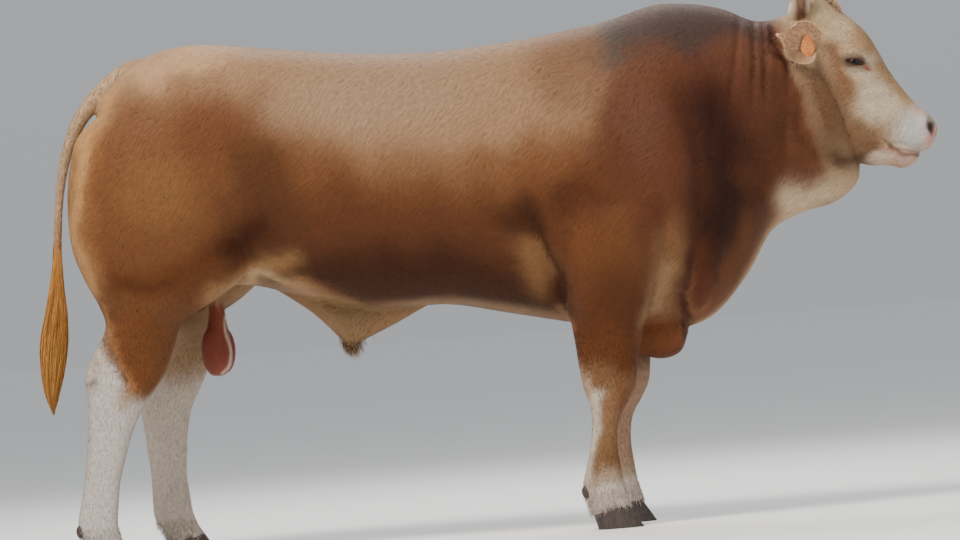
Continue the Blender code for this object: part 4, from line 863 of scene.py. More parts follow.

# %% [markdown]
# The coat runs from pale tan on the back over golden and reddish brown to chocolate on the neck,
# with cream at the throat, sheath and face and white below the hocks. The pale of the back and of
# the rump's top is partly painted light, and the dark of the lower flank and belly partly painted
# shade, since light from above is part of the colours as seen; the dark strokes in the creases of
# neck, elbow and brisket are painted shade. Each mark is one row: its colour as seen, how strongly
# it covers what lies under it, and its shape seen from the side. A spot is a turned ellipse, a
# stroke is a line with a width, and the others lie above or below a line. Rows are painted in
# order, one over the other, on both sides of the body alike.

# %% Marks of the coat
TRUNK_MARKS = [
    # partly painted light: the pale of the back and loin stands in part for light from above
    ("back and loin", "above", (152, 119, 90), 0.95,
     [(-1.581, 1.373), (-1.455, 1.412), (-1.301, 1.424), (-1.148, 1.425), (-1.035, 1.391), (-0.941,
     1.335), (-0.854, 1.279), (-0.736, 1.221), (-0.556, 1.176), (-0.375, 1.144), (-0.222, 1.156),
     (-0.096, 1.201), (0.031, 1.258), (0.103, 1.32)], 0.118, 0),
    ("grey tan of the loin", "spot", (150, 122, 98), 0.7, (-0.632, 1.381), (0.372, 0.124), 0),
    ("warm withers", "spot", (118, 84, 62), 0.8, (-0.001, 1.432), (0.155, 0.143), 12),
    # partly painted light: the pale top of the rump stands in part for light from above
    ("pale top of the rump", "spot", (188, 150, 114), 0.8, (-1.247, 1.53), (0.232, 0.062), 10),
    ("golden flank", "spot", (116, 74, 44), 0.7, (-0.193, 1.129), (0.217, 0.074), -5),
    # partly painted shade: the lower flank is darker in part because it turns away from the light
    ("brown of the lower flank", "below", (88, 50, 29), 0.85,
     [(-1.056, 1.047), (-0.869, 1.085), (-0.73, 1.104), (-0.565, 1.067), (-0.384, 1.028), (-0.2,
     1.038), (-0.077, 1.053), (0.042, 1.007)], 0.081, 0),
    # partly painted shade: the dark under the ribs stands in part for shade under the body
    ("dark under the ribs", "below", (58, 28, 13), 0.8,
     [(-0.976, 0.897), (-0.821, 0.916), (-0.638, 0.92), (-0.426, 0.891), (-0.277, 0.842), (-0.1,
     0.758)], 0.062, 0),
    ("thigh's dark upper patch", "spot", (104, 62, 38), 0.75, (-1.11, 1.327), (0.161, 0.087), 25),
    ("thigh's dark front", "spot", (78, 46, 25), 0.8, (-0.965, 1.117), (0.099, 0.186), 20),
    ("brown flank patch", "spot", (92, 54, 32), 0.55, (-0.791, 1.072), (0.093, 0.056), 0),
    ("golden middle of the thigh", "spot", (122, 84, 50), 0.8, (-1.308, 1.144), (0.13, 0.136), 20),
    ("brown upper thigh", "spot", (116, 76, 48), 0.6, (-1.341, 1.314), (0.155, 0.093), 25),
    ("rear edge of the buttock", "stroke", (196, 148, 98), 0.85,
     [(-1.434, 1.447), (-1.502, 1.361), (-1.547, 1.224), (-1.566, 1.088), (-1.557, 0.98), (-1.528,
     0.87)], 0.034, 0),
    ("brown behind the thigh", "stroke", (134, 88, 54), 0.5,
     [(-1.472, 1.279), (-1.514, 1.129), (-1.514, 0.976), (-1.484, 0.852)], 0.031, 0),
    ("stifle dark", "stroke", (62, 30, 12), 0.9,
     [(-0.992, 1.003), (-1.074, 0.972), (-1.149, 0.948)], 0.04, 0),
    ("dark of the lower thigh", "stroke", (86, 46, 20), 0.8,
     [(-1.173, 0.913), (-1.253, 0.87), (-1.346, 0.859), (-1.436, 0.878)], 0.046, 0),
    ("flank fold", "stroke", (156, 116, 76), 0.9,
     [(-1.167, 0.796), (-1.097, 0.84), (-1.032, 0.877), (-0.97, 0.897), (-0.908, 0.904)], 0.028, 0),
    ("rim of the flank fold", "stroke", (196, 166, 128), 0.9,
     [(-1.099, 0.815), (-1.04, 0.86), (-0.966, 0.866), (-0.897, 0.818), (-0.833, 0.764)], 0.015, 0),
    ("tan of the belly's rear", "spot", (150, 108, 70), 0.7, (-0.861, 0.797), (0.105, 0.05), -25),
    ("cream of the sheath", "spot", (132, 103, 72), 0.95, (-0.765, 0.697), (0.074, 0.068), -30),
    ("tip of the sheath", "spot", (140, 104, 76), 0.9, (-0.75, 0.626), (0.025, 0.031), 0),
    ("brown rim of the belly", "stroke", (136, 90, 52), 0.8,
     [(-0.682, 0.666), (-0.564, 0.694), (-0.439, 0.727)], 0.025, 0),
    # partly painted shade: the dark line along the bottom of the belly stands in part for shade
    ("dark line under the ribs", "stroke", (52, 24, 12), 0.9,
     [(-0.468, 0.747), (-0.317, 0.717), (-0.167, 0.681), (-0.092, 0.663)], 0.019, 0),
    ("chest floor", "stroke", (140, 92, 60), 0.85,
     [(-0.29, 0.675), (-0.17, 0.641), (-0.074, 0.618)], 0.019, 0),
    ("pocket behind the elbow", "spot", (134, 96, 62), 0.9, (-0.156, 0.824), (0.062, 0.105), 25),
    ("dark above the elbow", "spot", (66, 36, 18), 0.85, (-0.205, 0.977), (0.074, 0.062), -20),
    ("dark of the shoulder blade's end", "spot", (74, 38, 20), 0.8, (-0.019, 1.012), (0.099, 0.056), 0),
    ("reddish shoulder", "spot", (80, 46, 30), 0.8, (0.156, 1.212), (0.118, 0.161), -8),
    ("brown of the lower shoulder", "spot", (84, 45, 23), 0.75, (0.071, 1.066), (0.136, 0.093), 0),
    ("upper arm", "spot", (108, 66, 37), 0.9, (0.042, 0.817), (0.112, 0.155), 0),
    ("orange of the forearm", "spot", (84, 46, 24), 0.85, (0.068, 0.638), (0.105, 0.155), 0),
    # painted shade: a dark stroke along the crease at the rear of the elbow
    ("painted shade at the rim of the elbow", "stroke", (60, 32, 18), 0.8,
     [(-0.174, 0.981), (-0.135, 0.898), (-0.098, 0.788), (-0.084, 0.686)], 0.015, 0),
    ("front of the shoulder", "spot", (92, 50, 28), 0.7, (0.19, 0.949), (0.05, 0.124), 0),
]
NECK_MARKS = [
    ("neck", "spot", (98, 56, 38), 0.95, (0.431, 1.224), (0.322, 0.527), 0),
    ("crest", "stroke", (74, 62, 58), 0.97,
     [(0.133, 1.506), (0.239, 1.528), (0.393, 1.529), (0.528, 1.481)], 0.081, 0),
    ("crest's rear edge", "stroke", (80, 70, 64), 0.85, [(0.122, 1.525), (0.118, 1.427)], 0.025, 0),
    ("brown of the crest", "spot", (72, 55, 50), 0.8, (0.391, 1.504), (0.143, 0.068), -5),
    ("red brown of the neck", "spot", (98, 62, 45), 0.8, (0.186, 1.243), (0.081, 0.155), 0),
    ("red of the upper neck", "spot", (108, 66, 46), 0.8, (0.508, 1.418), (0.093, 0.074), 0),
    ("dark band", "stroke", (54, 26, 14), 0.93,
     [(0.393, 1.288), (0.422, 1.194), (0.426, 1.086), (0.42, 0.932), (0.38, 0.812)], 0.112, 0),
    ("darkest of the band", "stroke", (48, 22, 14), 0.8,
     [(0.407, 1.232), (0.432, 1.085), (0.418, 0.902)], 0.056, 0),
    ("brown under the ear", "stroke", (80, 47, 29), 0.8,
     [(0.594, 1.334), (0.611, 1.241), (0.585, 1.15)], 0.05, 0),
    ("brown of the throat", "spot", (92, 52, 29), 0.8, (0.553, 1.054), (0.087, 0.081), 30),
    ("neck under the band", "stroke", (96, 52, 30), 0.7, [(0.354, 0.83), (0.325, 0.74)], 0.037, 0),
    ("tan before the shoulder", "spot", (132, 94, 62), 0.8, (0.241, 0.839), (0.056, 0.093), -10),
    ("hollow before the leg", "stroke", (152, 122, 88), 0.95,
     [(0.236, 0.784), (0.205, 0.703), (0.169, 0.635)], 0.031, 0),
    ("front of the dewlap", "stroke", (106, 66, 40), 0.85,
     [(0.497, 0.895), (0.452, 0.785), (0.414, 0.696), (0.34, 0.621)], 0.034, 0),
    # painted shade: dark lines in the two wrinkles of the neck
    ("painted shade of the first wrinkle of the neck", "stroke", (66, 38, 26), 0.55,
     [(0.549, 1.51), (0.549, 1.43), (0.562, 1.324)], 0.005, 0),
    ("painted shade of the second wrinkle of the neck", "stroke", (66, 38, 26), 0.55,
     [(0.573, 1.502), (0.575, 1.41), (0.594, 1.334)], 0.005, 0),
    # painted shade: a dark line in the fold behind the ear
    ("painted shade in the crease behind the ear", "stroke", (52, 28, 18), 0.85,
     [(0.61, 1.505), (0.614, 1.443), (0.653, 1.385), (0.658, 1.329)], 0.007, 0),
    ("cream throat", "stroke", (210, 184, 154), 0.97,
     [(0.643, 0.949), (0.719, 0.967), (0.801, 0.998), (0.841, 1.032)], 0.053, 0),
    ("bulge low on the neck", "spot", (92, 48, 32), 0.85, (0.332, 0.714), (0.031, 0.053), 0),
    ("pale ring of the bulge", "stroke", (140, 92, 62), 0.6,
     [(0.299, 0.754), (0.3, 0.662), (0.335, 0.634), (0.369, 0.675)], 0.011, 0),
    # painted shade: a dark line in the fold next to the bulge
    ("painted shade in the crease by the bulge", "stroke", (62, 30, 16), 0.8,
     [(0.305, 0.797), (0.286, 0.712), (0.292, 0.635)], 0.012, 0),
    ("brisket", "spot", (120, 70, 42), 0.95, (0.195, 0.571), (0.074, 0.062), 20),
    # painted shade: a dark line in the fold over the brisket
    ("painted shade in the crease above the brisket", "stroke", (64, 32, 18), 0.8,
     [(0.277, 0.682), (0.266, 0.615), (0.269, 0.572)], 0.012, 0),
    ("rim of the brisket", "stroke", (92, 48, 26), 0.7,
     [(0.13, 0.533), (0.196, 0.513), (0.26, 0.542)], 0.012, 0),
]
HEAD_MARKS = [
    ("head", "head", (190, 160, 128), 0.96, None, 0, 0),
    ("cheek", "spot", (98, 65, 41), 0.9, (0.739, 1.233), (0.115, 0.155), 8),
    ("streak behind the eye", "stroke", (126, 84, 54), 0.75,
     [(0.797, 1.42), (0.815, 1.344), (0.841, 1.281)], 0.025, 0),
    ("jaw", "stroke", (68, 38, 18), 0.85,
     [(0.694, 1.144), (0.758, 1.089), (0.831, 1.071), (0.901, 1.096)], 0.037, 0),
    ("lower cheek", "spot", (116, 80, 52), 0.75, (0.868, 1.149), (0.081, 0.053), 10),
    ("pale round the eye", "spot", (208, 186, 162), 0.9, (0.891, 1.357), (0.059, 0.046), -20),
    ("pale side of the face", "spot", (214, 198, 176), 0.9, (0.932, 1.249), (0.068, 0.074), -30),
    ("golden forehead", "spot", (170, 136, 100), 0.85, (0.891, 1.444), (0.056, 0.043), -50),
    ("golden bridge", "stroke", (172, 134, 92), 0.75,
     [(0.94, 1.353), (0.984, 1.288), (1.03, 1.241)], 0.025, 0),
    ("pale brow", "spot", (196, 174, 144), 0.8, (0.826, 1.48), (0.043, 0.043), 0),
    ("poll", "spot", (196, 170, 136), 0.9, (0.763, 1.54), (0.05, 0.037), 0),
    ("muzzle", "spot", (188, 186, 184), 0.97, (1.032, 1.148), (0.068, 0.074), 0),
    ("pink bridge of the nose", "spot", (208, 170, 160), 0.7, (1.059, 1.22), (0.028, 0.022), -40),
    ("pink nose", "spot", (204, 152, 146), 0.9, (1.088, 1.119), (0.025, 0.043), -10),
    ("upper lip", "stroke", (204, 170, 160), 0.7,
     [(0.981, 1.09), (1.042, 1.079), (1.087, 1.094)], 0.015, 0),
    ("lower lip", "spot", (200, 166, 150), 0.85, (0.979, 1.066), (0.074, 0.025), -12),
    ("chin", "spot", (214, 194, 176), 0.7, (0.918, 1.07), (0.037, 0.022), -12),
    # painted shade: the hollow of the nostril is painted dark
    ("nostril", "spot", (52, 30, 28), 0.9, (1.082, 1.153), (0.014, 0.022), 10),
    # partly painted shade: the dark of the lids stands also for the shade under the lashes
    ("lids", "spot", (66, 40, 34), 0.95, (0.858, 1.372), (0.043, 0.023), -14),
    ("corner of the eye", "stroke", (160, 88, 72), 0.85, [(0.888, 1.36), (0.905, 1.347)], 0.007, 0),
    # painted shade: the groove of the mouth is painted dark
    ("mouth", "stroke", (112, 74, 60), 0.8,
     [(0.954, 1.105), (0.975, 1.088), (1.011, 1.075), (1.06, 1.072)], 0.007, 0),
    ("edge of the cheek", "stroke", (180, 154, 120), 0.6, [(0.673, 1.38), (0.677, 1.318)], 0.015, 0),
    # partly painted light: the ear's own colour is pink cream, painted paler still to make up for the
    # shade in its cup
    ("ear", "ear", (236, 190, 150), 0.9, None, 0, 0),
]
LEG_MARKS = [
    ("tan tendon", "stroke", (168, 118, 72), 0.8,
     [(-1.496, 0.822), (-1.479, 0.728), (-1.456, 0.628), (-1.425, 0.545)], 0.011, 0),
    ("hind cannon", "leg_below", (196, 188, 184), 0.97,
     [(-1.584, 0.567), (-1.537, 0.609), (-1.489, 0.6), (-1.44, 0.516), (-1.378, 0.52), (-1.329,
     0.562)], 0.028, 0),
    ("white behind the hock", "stroke", (200, 190, 180), 0.95,
     [(-1.523, 0.716), (-1.512, 0.654), (-1.502, 0.594)], 0.025, 0),
    ("white of the point of the hock", "stroke", (200, 190, 180), 0.95,
     [(-1.524, 0.701), (-1.552, 0.654), (-1.569, 0.594)], 0.025, 0),
    ("brown of the lower thigh", "spot", (108, 64, 34), 0.85, (-1.396, 0.691), (0.087, 0.105), 0),
    ("rust at the hock", "spot", (150, 112, 78), 0.7, (-1.434, 0.515), (0.056, 0.028), 10),
    ("tan spot under the hock", "spot", (170, 144, 112), 0.7, (-1.474, 0.469), (0.028, 0.022), 0),
    ("dark point of the hock", "spot", (112, 92, 80), 0.75, (-1.55, 0.567), (0.017, 0.011), 20),
    ("forearm", "spot", (98, 56, 29), 0.9, (0.044, 0.54), (0.087, 0.105), 0),
    ("pale knee and cannon", "leg_below", (122, 88, 60), 0.95,
     [(-0.062, 0.518), (0.004, 0.494), (0.079, 0.476), (0.157, 0.488)], 0.025, 0),
    ("pink cannon", "spot", (150, 112, 80), 0.7, (0.016, 0.334), (0.056, 0.093), 0),
    ("brown streak of the cannon", "stroke", (124, 80, 54), 0.7,
     [(0.068, 0.452), (0.065, 0.33), (0.049, 0.208)], 0.019, 0),
    ("pale rear of the forearm", "stroke", (160, 118, 90), 0.7,
     [(-0.098, 0.681), (-0.079, 0.618), (-0.066, 0.549)], 0.011, 0),
    ("white rear of the knee", "stroke", (190, 162, 140), 0.8,
     [(-0.065, 0.555), (-0.051, 0.462), (-0.039, 0.387)], 0.015, 0),
    ("white rear of the cannon", "stroke", (212, 198, 184), 0.9,
     [(-0.035, 0.399), (-0.038, 0.322), (-0.054, 0.231), (-0.074, 0.138)], 0.019, 0),
    ("pink inside the forelegs", "inner_below", (172, 140, 118), 0.8,
     [(-0.088, 0.508), (0.25, 0.5)], 0.037, 0),
    ("pale fetlock", "spot", (170, 150, 130), 0.9, (-0.012, 0.133), (0.074, 0.043), 0),
    ("white over the fore hooves", "leg_below", (204, 190, 182), 0.95,
     [(-0.117, 0.135), (0.159, 0.125)], 0.022, 0),
    ("tan inside the thighs", "inner_below", (160, 132, 104), 0.9,
     [(-1.513, 0.755), (-1.209, 0.713)], 0.037, 0),
    ("cream inside the hind legs", "inner_below", (190, 178, 168), 0.95,
     [(-1.527, 0.578), (-1.223, 0.542)], 0.05, 0),
]

print(sum(map(len, (TRUNK_MARKS, NECK_MARKS, HEAD_MARKS, LEG_MARKS))), "marks")

# %% [markdown]
# Skin and hair take their colour from the same function of the place, so the markings agree.
# Small waves shift the place a little before it is looked up, which gives the marks the uneven
# edges of real ones.

# %% Colour of a place on the coat
BASE = (108, 68, 40)
GAIN = np.array((0.752, 0.728, 0.682))      # the light is a little cool, so the coat is set warmer
KEEL = [(0.661, 0.928), (0.564, 0.885), (0.512, 0.809), (0.480, 0.718), (0.431, 0.653), (0.339, 0.592)]
BAG_RIM = [(-1.138, 0.74), (-1.140, 0.69), (-1.128, 0.640), (-1.136, 0.59), (-1.160, 0.566)]


def paint(colour):
    """Colour as seen, 0 to 255, to linear light, with the coat's own gain."""
    seen = np.array(colour) / 255
    return ((seen + 0.055) / 1.055) ** 2.4 * GAIN


def waves(points, length, seed, count=7):
    """Sum of sine waves of about this length in seeded directions, roughly between -1 and 1."""
    lot = np.random.default_rng(seed)
    ways = lot.normal(size=(count, 3))
    ways *= (2 * math.pi / length * lot.uniform(0.6, 1.6, count) / np.linalg.norm(ways, axis=1))[:, None]
    return np.sin(points @ ways.T + lot.uniform(0, 2 * math.pi, count)).sum(axis=1) / math.sqrt(count)


def as_near_side(points):
    """The points folded onto one side, with the legs of the far side set back to the near ones."""
    far = points[:, 1] > 0
    p = folded(points)
    hind = far & (p[:, 0] < -0.8) & (p[:, 1] > 0.09)
    fore = far & (p[:, 0] > -0.35) & (p[:, 2] < 0.95)
    p[hind, 0] -= HIND_SHIFT * np.clip((HIND_SHIFT_TOP - p[hind, 2]) / HIND_RUN, 0, 1)
    p[fore, 0] -= FORE_SHIFT * np.clip((FORE_SHIFT_TOP - p[fore, 2]) / FORE_RUN, 0, 1)
    return p


def on_ear(points):
    """1 on the free part of an ear: before the plane of its back, and soft towards its root."""
    away = folded(points) - EAR_ROOT
    along, face, across = away @ ear_axis, away @ ear_face, away @ ear_across
    inside = (face > -0.030) & (face < 0.07) & (np.abs(across) < 0.066) & (along < ear_length + 0.02)
    return inside * smooth_step(along, -0.01, 0.035)


def mark_weight(points, kind, place, size, turn):
    """A spot's weight is a bell curve of the fourth power of the distance, a stroke's one of its
    square; above and below are soft steps across the line, which fade at its ends."""
    flat = points[:, [0, 2]]
    if kind == "head":
        return on_head(points)
    if kind == "ear":
        return on_ear(points)
    if kind == "spot":
        away, angle = flat - place, math.radians(turn)
        along = away @ (math.cos(angle), math.sin(angle)) / size[0]
        across = away @ (-math.sin(angle), math.cos(angle)) / size[1]
        return np.exp(-(along ** 2 + across ** 2) ** 2)
    if kind == "stroke":
        return np.exp(-(along_line(flat, place)[0] / size) ** 2)
    line = np.array(place)
    over = flat[:, 1] - np.interp(flat[:, 0], line[:, 0], line[:, 1])
    if kind in ("leg_below", "inner_below"):
        inside = (np.abs(flat[:, 0] - line[:, 0].mean()) < 0.35) & (points[:, 1] > 0.095)
        inner = smooth_step(-points[:, 1], -0.215, -0.165) if kind == "inner_below" else 1
        return inner * inside * smooth_step(-over, -size, size)
    rear, front = line[0, 0], line[-1, 0]
    fade = smooth_step(flat[:, 0], rear - 0.12, rear) * smooth_step(front - flat[:, 0], -0.06, 0.04)
    return fade * smooth_step(over if kind == "above" else -over, -size, size)


def coat_colour(points):
    """Linear colour (points, 3): the base, then each mark's colour mixed in by its weight."""
    p = as_near_side(points)
    p[:, 0] += 0.012 * waves(points, 0.22, 1) + 0.004 * waves(points, 0.05, 2)
    p[:, 2] += 0.014 * waves(points, 0.20, 3) + 0.004 * waves(points, 0.05, 4)
    colour = np.tile(paint(BASE), (len(p), 1))

    def mix(weight, over):
        """Moves the colours towards a paint, each by its weight from 0 to 1."""
        colour[:] += weight[:, None] * (paint(over) - colour)

    for _, kind, over, cover, place, size, turn in TRUNK_MARKS + NECK_MARKS:
        mix(cover * mark_weight(p, kind, place, size, turn), over)
    keel = np.exp(-(p[:, 1] / 0.048) ** 2 - (along_line(points[:, [0, 2]], KEEL)[0] / 0.030) ** 2)
    mix(0.9 * keel, (206, 172, 136))
    limit = np.interp(p[:, 0], (-1.0, -0.7), (0.90, 0.80))
    under = smooth_step(-p[:, 1], -0.19, -0.11) * smooth_step(limit - p[:, 2], 0.0, 0.08)
    mix(0.7 * under * smooth_step(-p[:, 0], 0.0, 0.2), (152, 122, 90))
    legs = (p[:, 2] < 0.86) & (p[:, 1] > 0.05)
    q, exact = p[legs], colour[legs]
    for _, kind, over, cover, place, size, turn in LEG_MARKS:
        exact += (cover * mark_weight(q, kind, place, size, turn))[:, None] * (paint(over) - exact)
    colour[legs] = exact
    head = np.flatnonzero((points[:, 0] > 0.50) & (points[:, 2] > 0.95))
    q, exact = folded(points[head]), colour[head]
    q[:, [0, 2]] += 0.003 * waves(q, 0.06, 5)[:, None]
    for _, kind, over, cover, place, size, turn in HEAD_MARKS:
        keep = 1 if kind in ("head", "ear") else np.maximum(on_head(q), on_ear(q))
        exact += (keep * cover * mark_weight(q, kind, place, size, turn))[:, None] * (paint(over) - exact)
    colour[head] = exact
    tail = (np.abs(points[:, 1]) < 0.045) & (points[:, 0] < -1.30)
    rows = np.array(TAIL)
    line = np.interp(points[:, 2], rows[::-1, 1], rows[::-1, 0])
    tail = tail & (points[:, 0] < line + 0.035) & (points[:, 2] < 1.53)
    mix(0.9 * tail, (196, 164, 132))
    mix(0.8 * tail * smooth_step(-points[:, 2], -1.15, -0.98), (170, 122, 78))
    bag = (np.abs(points[:, 1]) < 0.085) & (points[:, 2] < 0.78) & (np.abs(points[:, 0] + 1.165) < 0.08)
    mix(0.97 * bag, (122, 62, 50))
    seam = points[:, [0, 2]] - np.c_[0.026 * (points[:, 1] > 0), 0 * points[:, 1]]
    rim = np.exp(-(along_line(seam, BAG_RIM)[0] / 0.0035) ** 2)
    mix(0.8 * bag * rim, (214, 190, 172))
    return np.clip(colour, 0.002, 1)


def bareness(points):
    """1 on thinly haired or naked skin: the nose, the rims of the lids and the scrotum."""
    p = folded(points)
    nose = smooth_step(p[:, 0] + 0.4 * (p[:, 2] - 1.13), 1.062, 1.085)
    away = p - EYE
    lids = 1 - smooth_step(almond(away @ ALONG, away @ ACROSS), 1.25, 1.5)
    lids *= (np.abs(away[:, 1]) < 0.05) & (np.linalg.norm(away, axis=1) < 0.06)
    bag = (p[:, 1] < 0.08) & (p[:, 2] < 0.70) & (np.abs(p[:, 0] + 1.17) < 0.07)
    return np.maximum(np.maximum(nose, lids), bag)


skin_places = coordinates(skin.data)
skin_colour = coat_colour(skin_places)
skin_bare = bareness(skin_places)
print("mean colour of the skin", np.round(skin_colour.mean(axis=0), 3))

# %% [markdown]
# Short flat hair is mostly a matter of finish. The colour attribute is broken up by blotches a
# centimetre or two across and by fine streaks that lie with the hair; the same streaks raise a
# small bump. Hair has a soft sheen; bare skin has the same sheen and a moist gloss besides.

# %% Material of the coat


def store_colour(mesh, name, colour):
    """Linear colour (points, 3) as a colour attribute."""
    layer = mesh.color_attributes.new(name, "FLOAT_COLOR", "POINT")
    layer.data.foreach_set("color", np.c_[colour, np.ones(len(colour))].astype(np.float32).ravel())


def store_number(mesh, name, values):
    """Stores one number for each point as an attribute."""
    layer = mesh.attributes.new(name, "FLOAT", "POINT")
    layer.data.foreach_set("value", np.ascontiguousarray(values, np.float32))


def node(tree, kind, place, **inputs):
    """A node at a place in the tree, with the sockets named by `inputs` set to plain values."""
    made = tree.nodes.new("ShaderNode" + kind)
    made.location = place
    for name, value in inputs.items():
        made.inputs[name.replace("_", " ")].default_value = value
    return made


def coat_material(name):
    """The stored colour times blotches and streaks. Where the skin is bare the roughness falls,
    and the bump changes from the streaks of hair to pores."""
    made = plain_material(name, (0.4, 0.25, 0.15), 0.62)
    tree = made.node_tree
    shader = tree.nodes["Principled BSDF"]
    shader.inputs["Sheen Weight"].default_value = 0.012
    shader.inputs["Sheen Roughness"].default_value = 0.45
    shader.inputs["Specular IOR Level"].default_value = 0.08
    colour = node(tree, "Attribute", (-1300, 300))
    colour.attribute_name = "coat_colour"
    bare = node(tree, "Attribute", (-1300, -500))
    bare.attribute_name = "bare"
    place = node(tree, "TexCoord", (-1700, 0))
    lying = node(tree, "Mapping", (-1500, -100), Scale=(1.0, 1.0, 0.28))
    blotches = node(tree, "TexNoise", (-1300, 100), Scale=55.0, Detail=3.0)
    streaks = node(tree, "TexNoise", (-1300, -100), Scale=620.0, Detail=4.0)
    pores = node(tree, "TexVoronoi", (-1300, -300), Scale=520.0)
    link(place, "Object", lying, "Vector")
    link(place, "Object", blotches, "Vector")
    link(lying, "Vector", streaks, "Vector")
    link(place, "Object", pores, "Vector")
    blotch_range = node(tree, "MapRange", (-1080, 100))
    blotch_range.inputs["To Min"].default_value, blotch_range.inputs["To Max"].default_value = 0.80, 1.20
    streak_range = node(tree, "MapRange", (-1080, -100))
    streak_range.inputs["From Min"].default_value, streak_range.inputs["From Max"].default_value = 0.3, 0.7
    streak_range.inputs["To Min"].default_value, streak_range.inputs["To Max"].default_value = 0.72, 1.22
    both = node(tree, "Math", (-860, 0))
    both.operation = "MULTIPLY"
    link(blotches, "Fac", blotch_range, "Value")
    link(streaks, "Fac", streak_range, "Value")
    link(blotch_range, "Result", both, 0)
    link(streak_range, "Result", both, 1)
    scaled = node(tree, "VectorMath", (-660, 200))
    scaled.operation = "SCALE"
    link(colour, "Color", scaled, "Vector")
    link(both, "Value", scaled, "Scale")
    link(scaled, "Vector", shader, "Base Color")
    rough = node(tree, "MapRange", (-660, -300))
    rough.inputs["To Min"].default_value, rough.inputs["To Max"].default_value = 0.62, 0.42
    link(bare, "Fac", rough, "Value")
    link(rough, "Result", shader, "Roughness")
    relief_mix = node(tree, "Mix", (-660, -550))
    link(bare, "Fac", relief_mix, "Factor")
    link(streaks, "Fac", relief_mix, "A")
    link(pores, "Distance", relief_mix, "B")
    bump = node(tree, "Bump", (-300, -400), Strength=0.55, Distance=0.0012)
    link(relief_mix, "Result", bump, "Height")
    link(bump, "Normal", shader, "Normal")
    return made


coat = coat_material("short_coat")
print("the coat's material has", len(coat.node_tree.nodes), "nodes")

# %% [markdown]
# A hoof is two claws, each a curved wall of horn with a flat sole. The wall grows down from the
# coronet, so it has faint rings parallel to it. A claw is worked out as level sections from the
# sole to above the coronet, cut off there by lowering every point to the coronet's plane.

# %% Hooves
CLAW_LENGTH, CLAW_WIDTH, CLAW_TOE, CLAW_SLOPE = 0.140, 0.056, 0.036, 0.62
DEWCLAW_Z, DEWCLAW_OUT, DEWCLAW_RADII = 0.118, 0.026, (0.016, 0.013, 0.021)
HEEL = {"fore": -0.070, "hind": -1.626}


def claw(lateral, x_front, middle_y):
    """Level t of the way from the sole to the coronet: toe and heel lean back with height, the
    width shrinks by 1.2 for each metre, and rings of 0.4 mm run round the wall."""
    angle = round_angles(96)[None]
    t = np.r_[0, 0.012, np.linspace(0.05, 1, 40)][:, None]
    c, s = superellipse(angle, 2.4)
    z = 0.074 * t
    for _ in range(3):
        toe = x_front + CLAW_TOE - CLAW_SLOPE * z
        heel = x_front - CLAW_LENGTH + CLAW_TOE - 0.25 * z
        x = (toe + heel) / 2 + (toe - heel) / 2 * c
        z = (CORONET_FRONT_Z + 0.002 + CORONET_RISE * (x - x_front)) * t
    taper = 1 - 0.30 * np.clip(c, 0, 1) ** 2
    half = CLAW_WIDTH / 2 * (np.where(t < 0.01, 0.94, 1.0) - 1.2 * z)
    ring = 0.0004 * np.sin(60 * t ** 1.2) * (t > 0.05)
    y = middle_y + (half + ring) * s * taper - lateral * 0.005 * np.clip(c, 0, 1) ** 2
    return ring_mesh(np.stack([x + ring * c, y, z], -1))


def finish_mesh(name, shells, material, node=None):
    """A named piece from closed shells: moved into the frame, smooth, with its material; it rides
    on the model's one body."""
    mesh = bpy.data.meshes.new(name)
    points, faces = joined(shells)
    fill_mesh(mesh, points + SHIFT, faces)
    mesh.shade_smooth()
    mesh.materials.append(material)
    obj = put(name, mesh)
    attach(obj, "root")
    if node:
        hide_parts(*([node] if isinstance(node, str) else node))
    return obj


def horn_like(name, dark, light, scale, roughness, ring_scale):
    """Streaks of two tones along the growth, and rings across it as a fine bump."""
    made = plain_material(name, light, roughness)
    tree = made.node_tree
    shader = tree.nodes["Principled BSDF"]
    shader.inputs["Specular IOR Level"].default_value = 0.35
    place = node(tree, "TexCoord", (-1300, 0))
    stretch = node(tree, "Mapping", (-1100, 0), Scale=scale)
    streaks = node(tree, "TexNoise", (-900, 0), Scale=1.0, Detail=5.0, Roughness=0.6)
    tones = node(tree, "ValToRGB", (-650, 100))
    tones.color_ramp.elements[0].position, tones.color_ramp.elements[0].color = 0.34, (*dark, 1.0)
    tones.color_ramp.elements[1].position, tones.color_ramp.elements[1].color = 0.66, (*light, 1.0)
    rings = node(tree, "TexWave", (-900, -300), Scale=ring_scale, Distortion=2.5, Detail=2.0)
    rings.bands_direction = "Z"
    bump = node(tree, "Bump", (-400, -250), Strength=0.35, Distance=0.0006)
    link(place, "Object", stretch, "Vector")
    link(place, "Object", rings, "Vector")
    link(stretch, "Vector", streaks, "Vector")
    link(streaks, "Fac", tones, "Fac")
    link(tones, "Color", shader, "Base Color")
    link(rings, "Fac", bump, "Height")
    link(bump, "Normal", shader, "Normal")
    return made


hoof_material = horn_like("hoof_horn", (0.022, 0.015, 0.012), (0.070, 0.048, 0.038),
                          (260, 260, 18), 0.55, 40.0)
for end, (_, half_gauge) in FOOT_MIDDLE.items():
    for side, where in ((-1, "right"), (1, "left")):
        for lateral in (-1, 1):
            inner = "inner" if lateral * side < 0 else "outer"
            middle = side * half_gauge
            front = CORONET_FRONT[end] + foot_shift(end, side)
            shell = claw(lateral, front, middle + lateral * (CLAW_WIDTH / 2 + 0.0012))
            name = f"hoof_{end}_{where}_{inner}"
            finish_mesh(name + "_wall", [shell], hoof_material, name)
            centre = (HEEL[end] + 0.005 + foot_shift(end, side), middle + lateral * DEWCLAW_OUT, DEWCLAW_Z)
            name = f"dewclaw_{end}_{where}_{inner}"
            finish_mesh(name + "_horn", [ball(centre, DEWCLAW_RADII)], hoof_material, name)

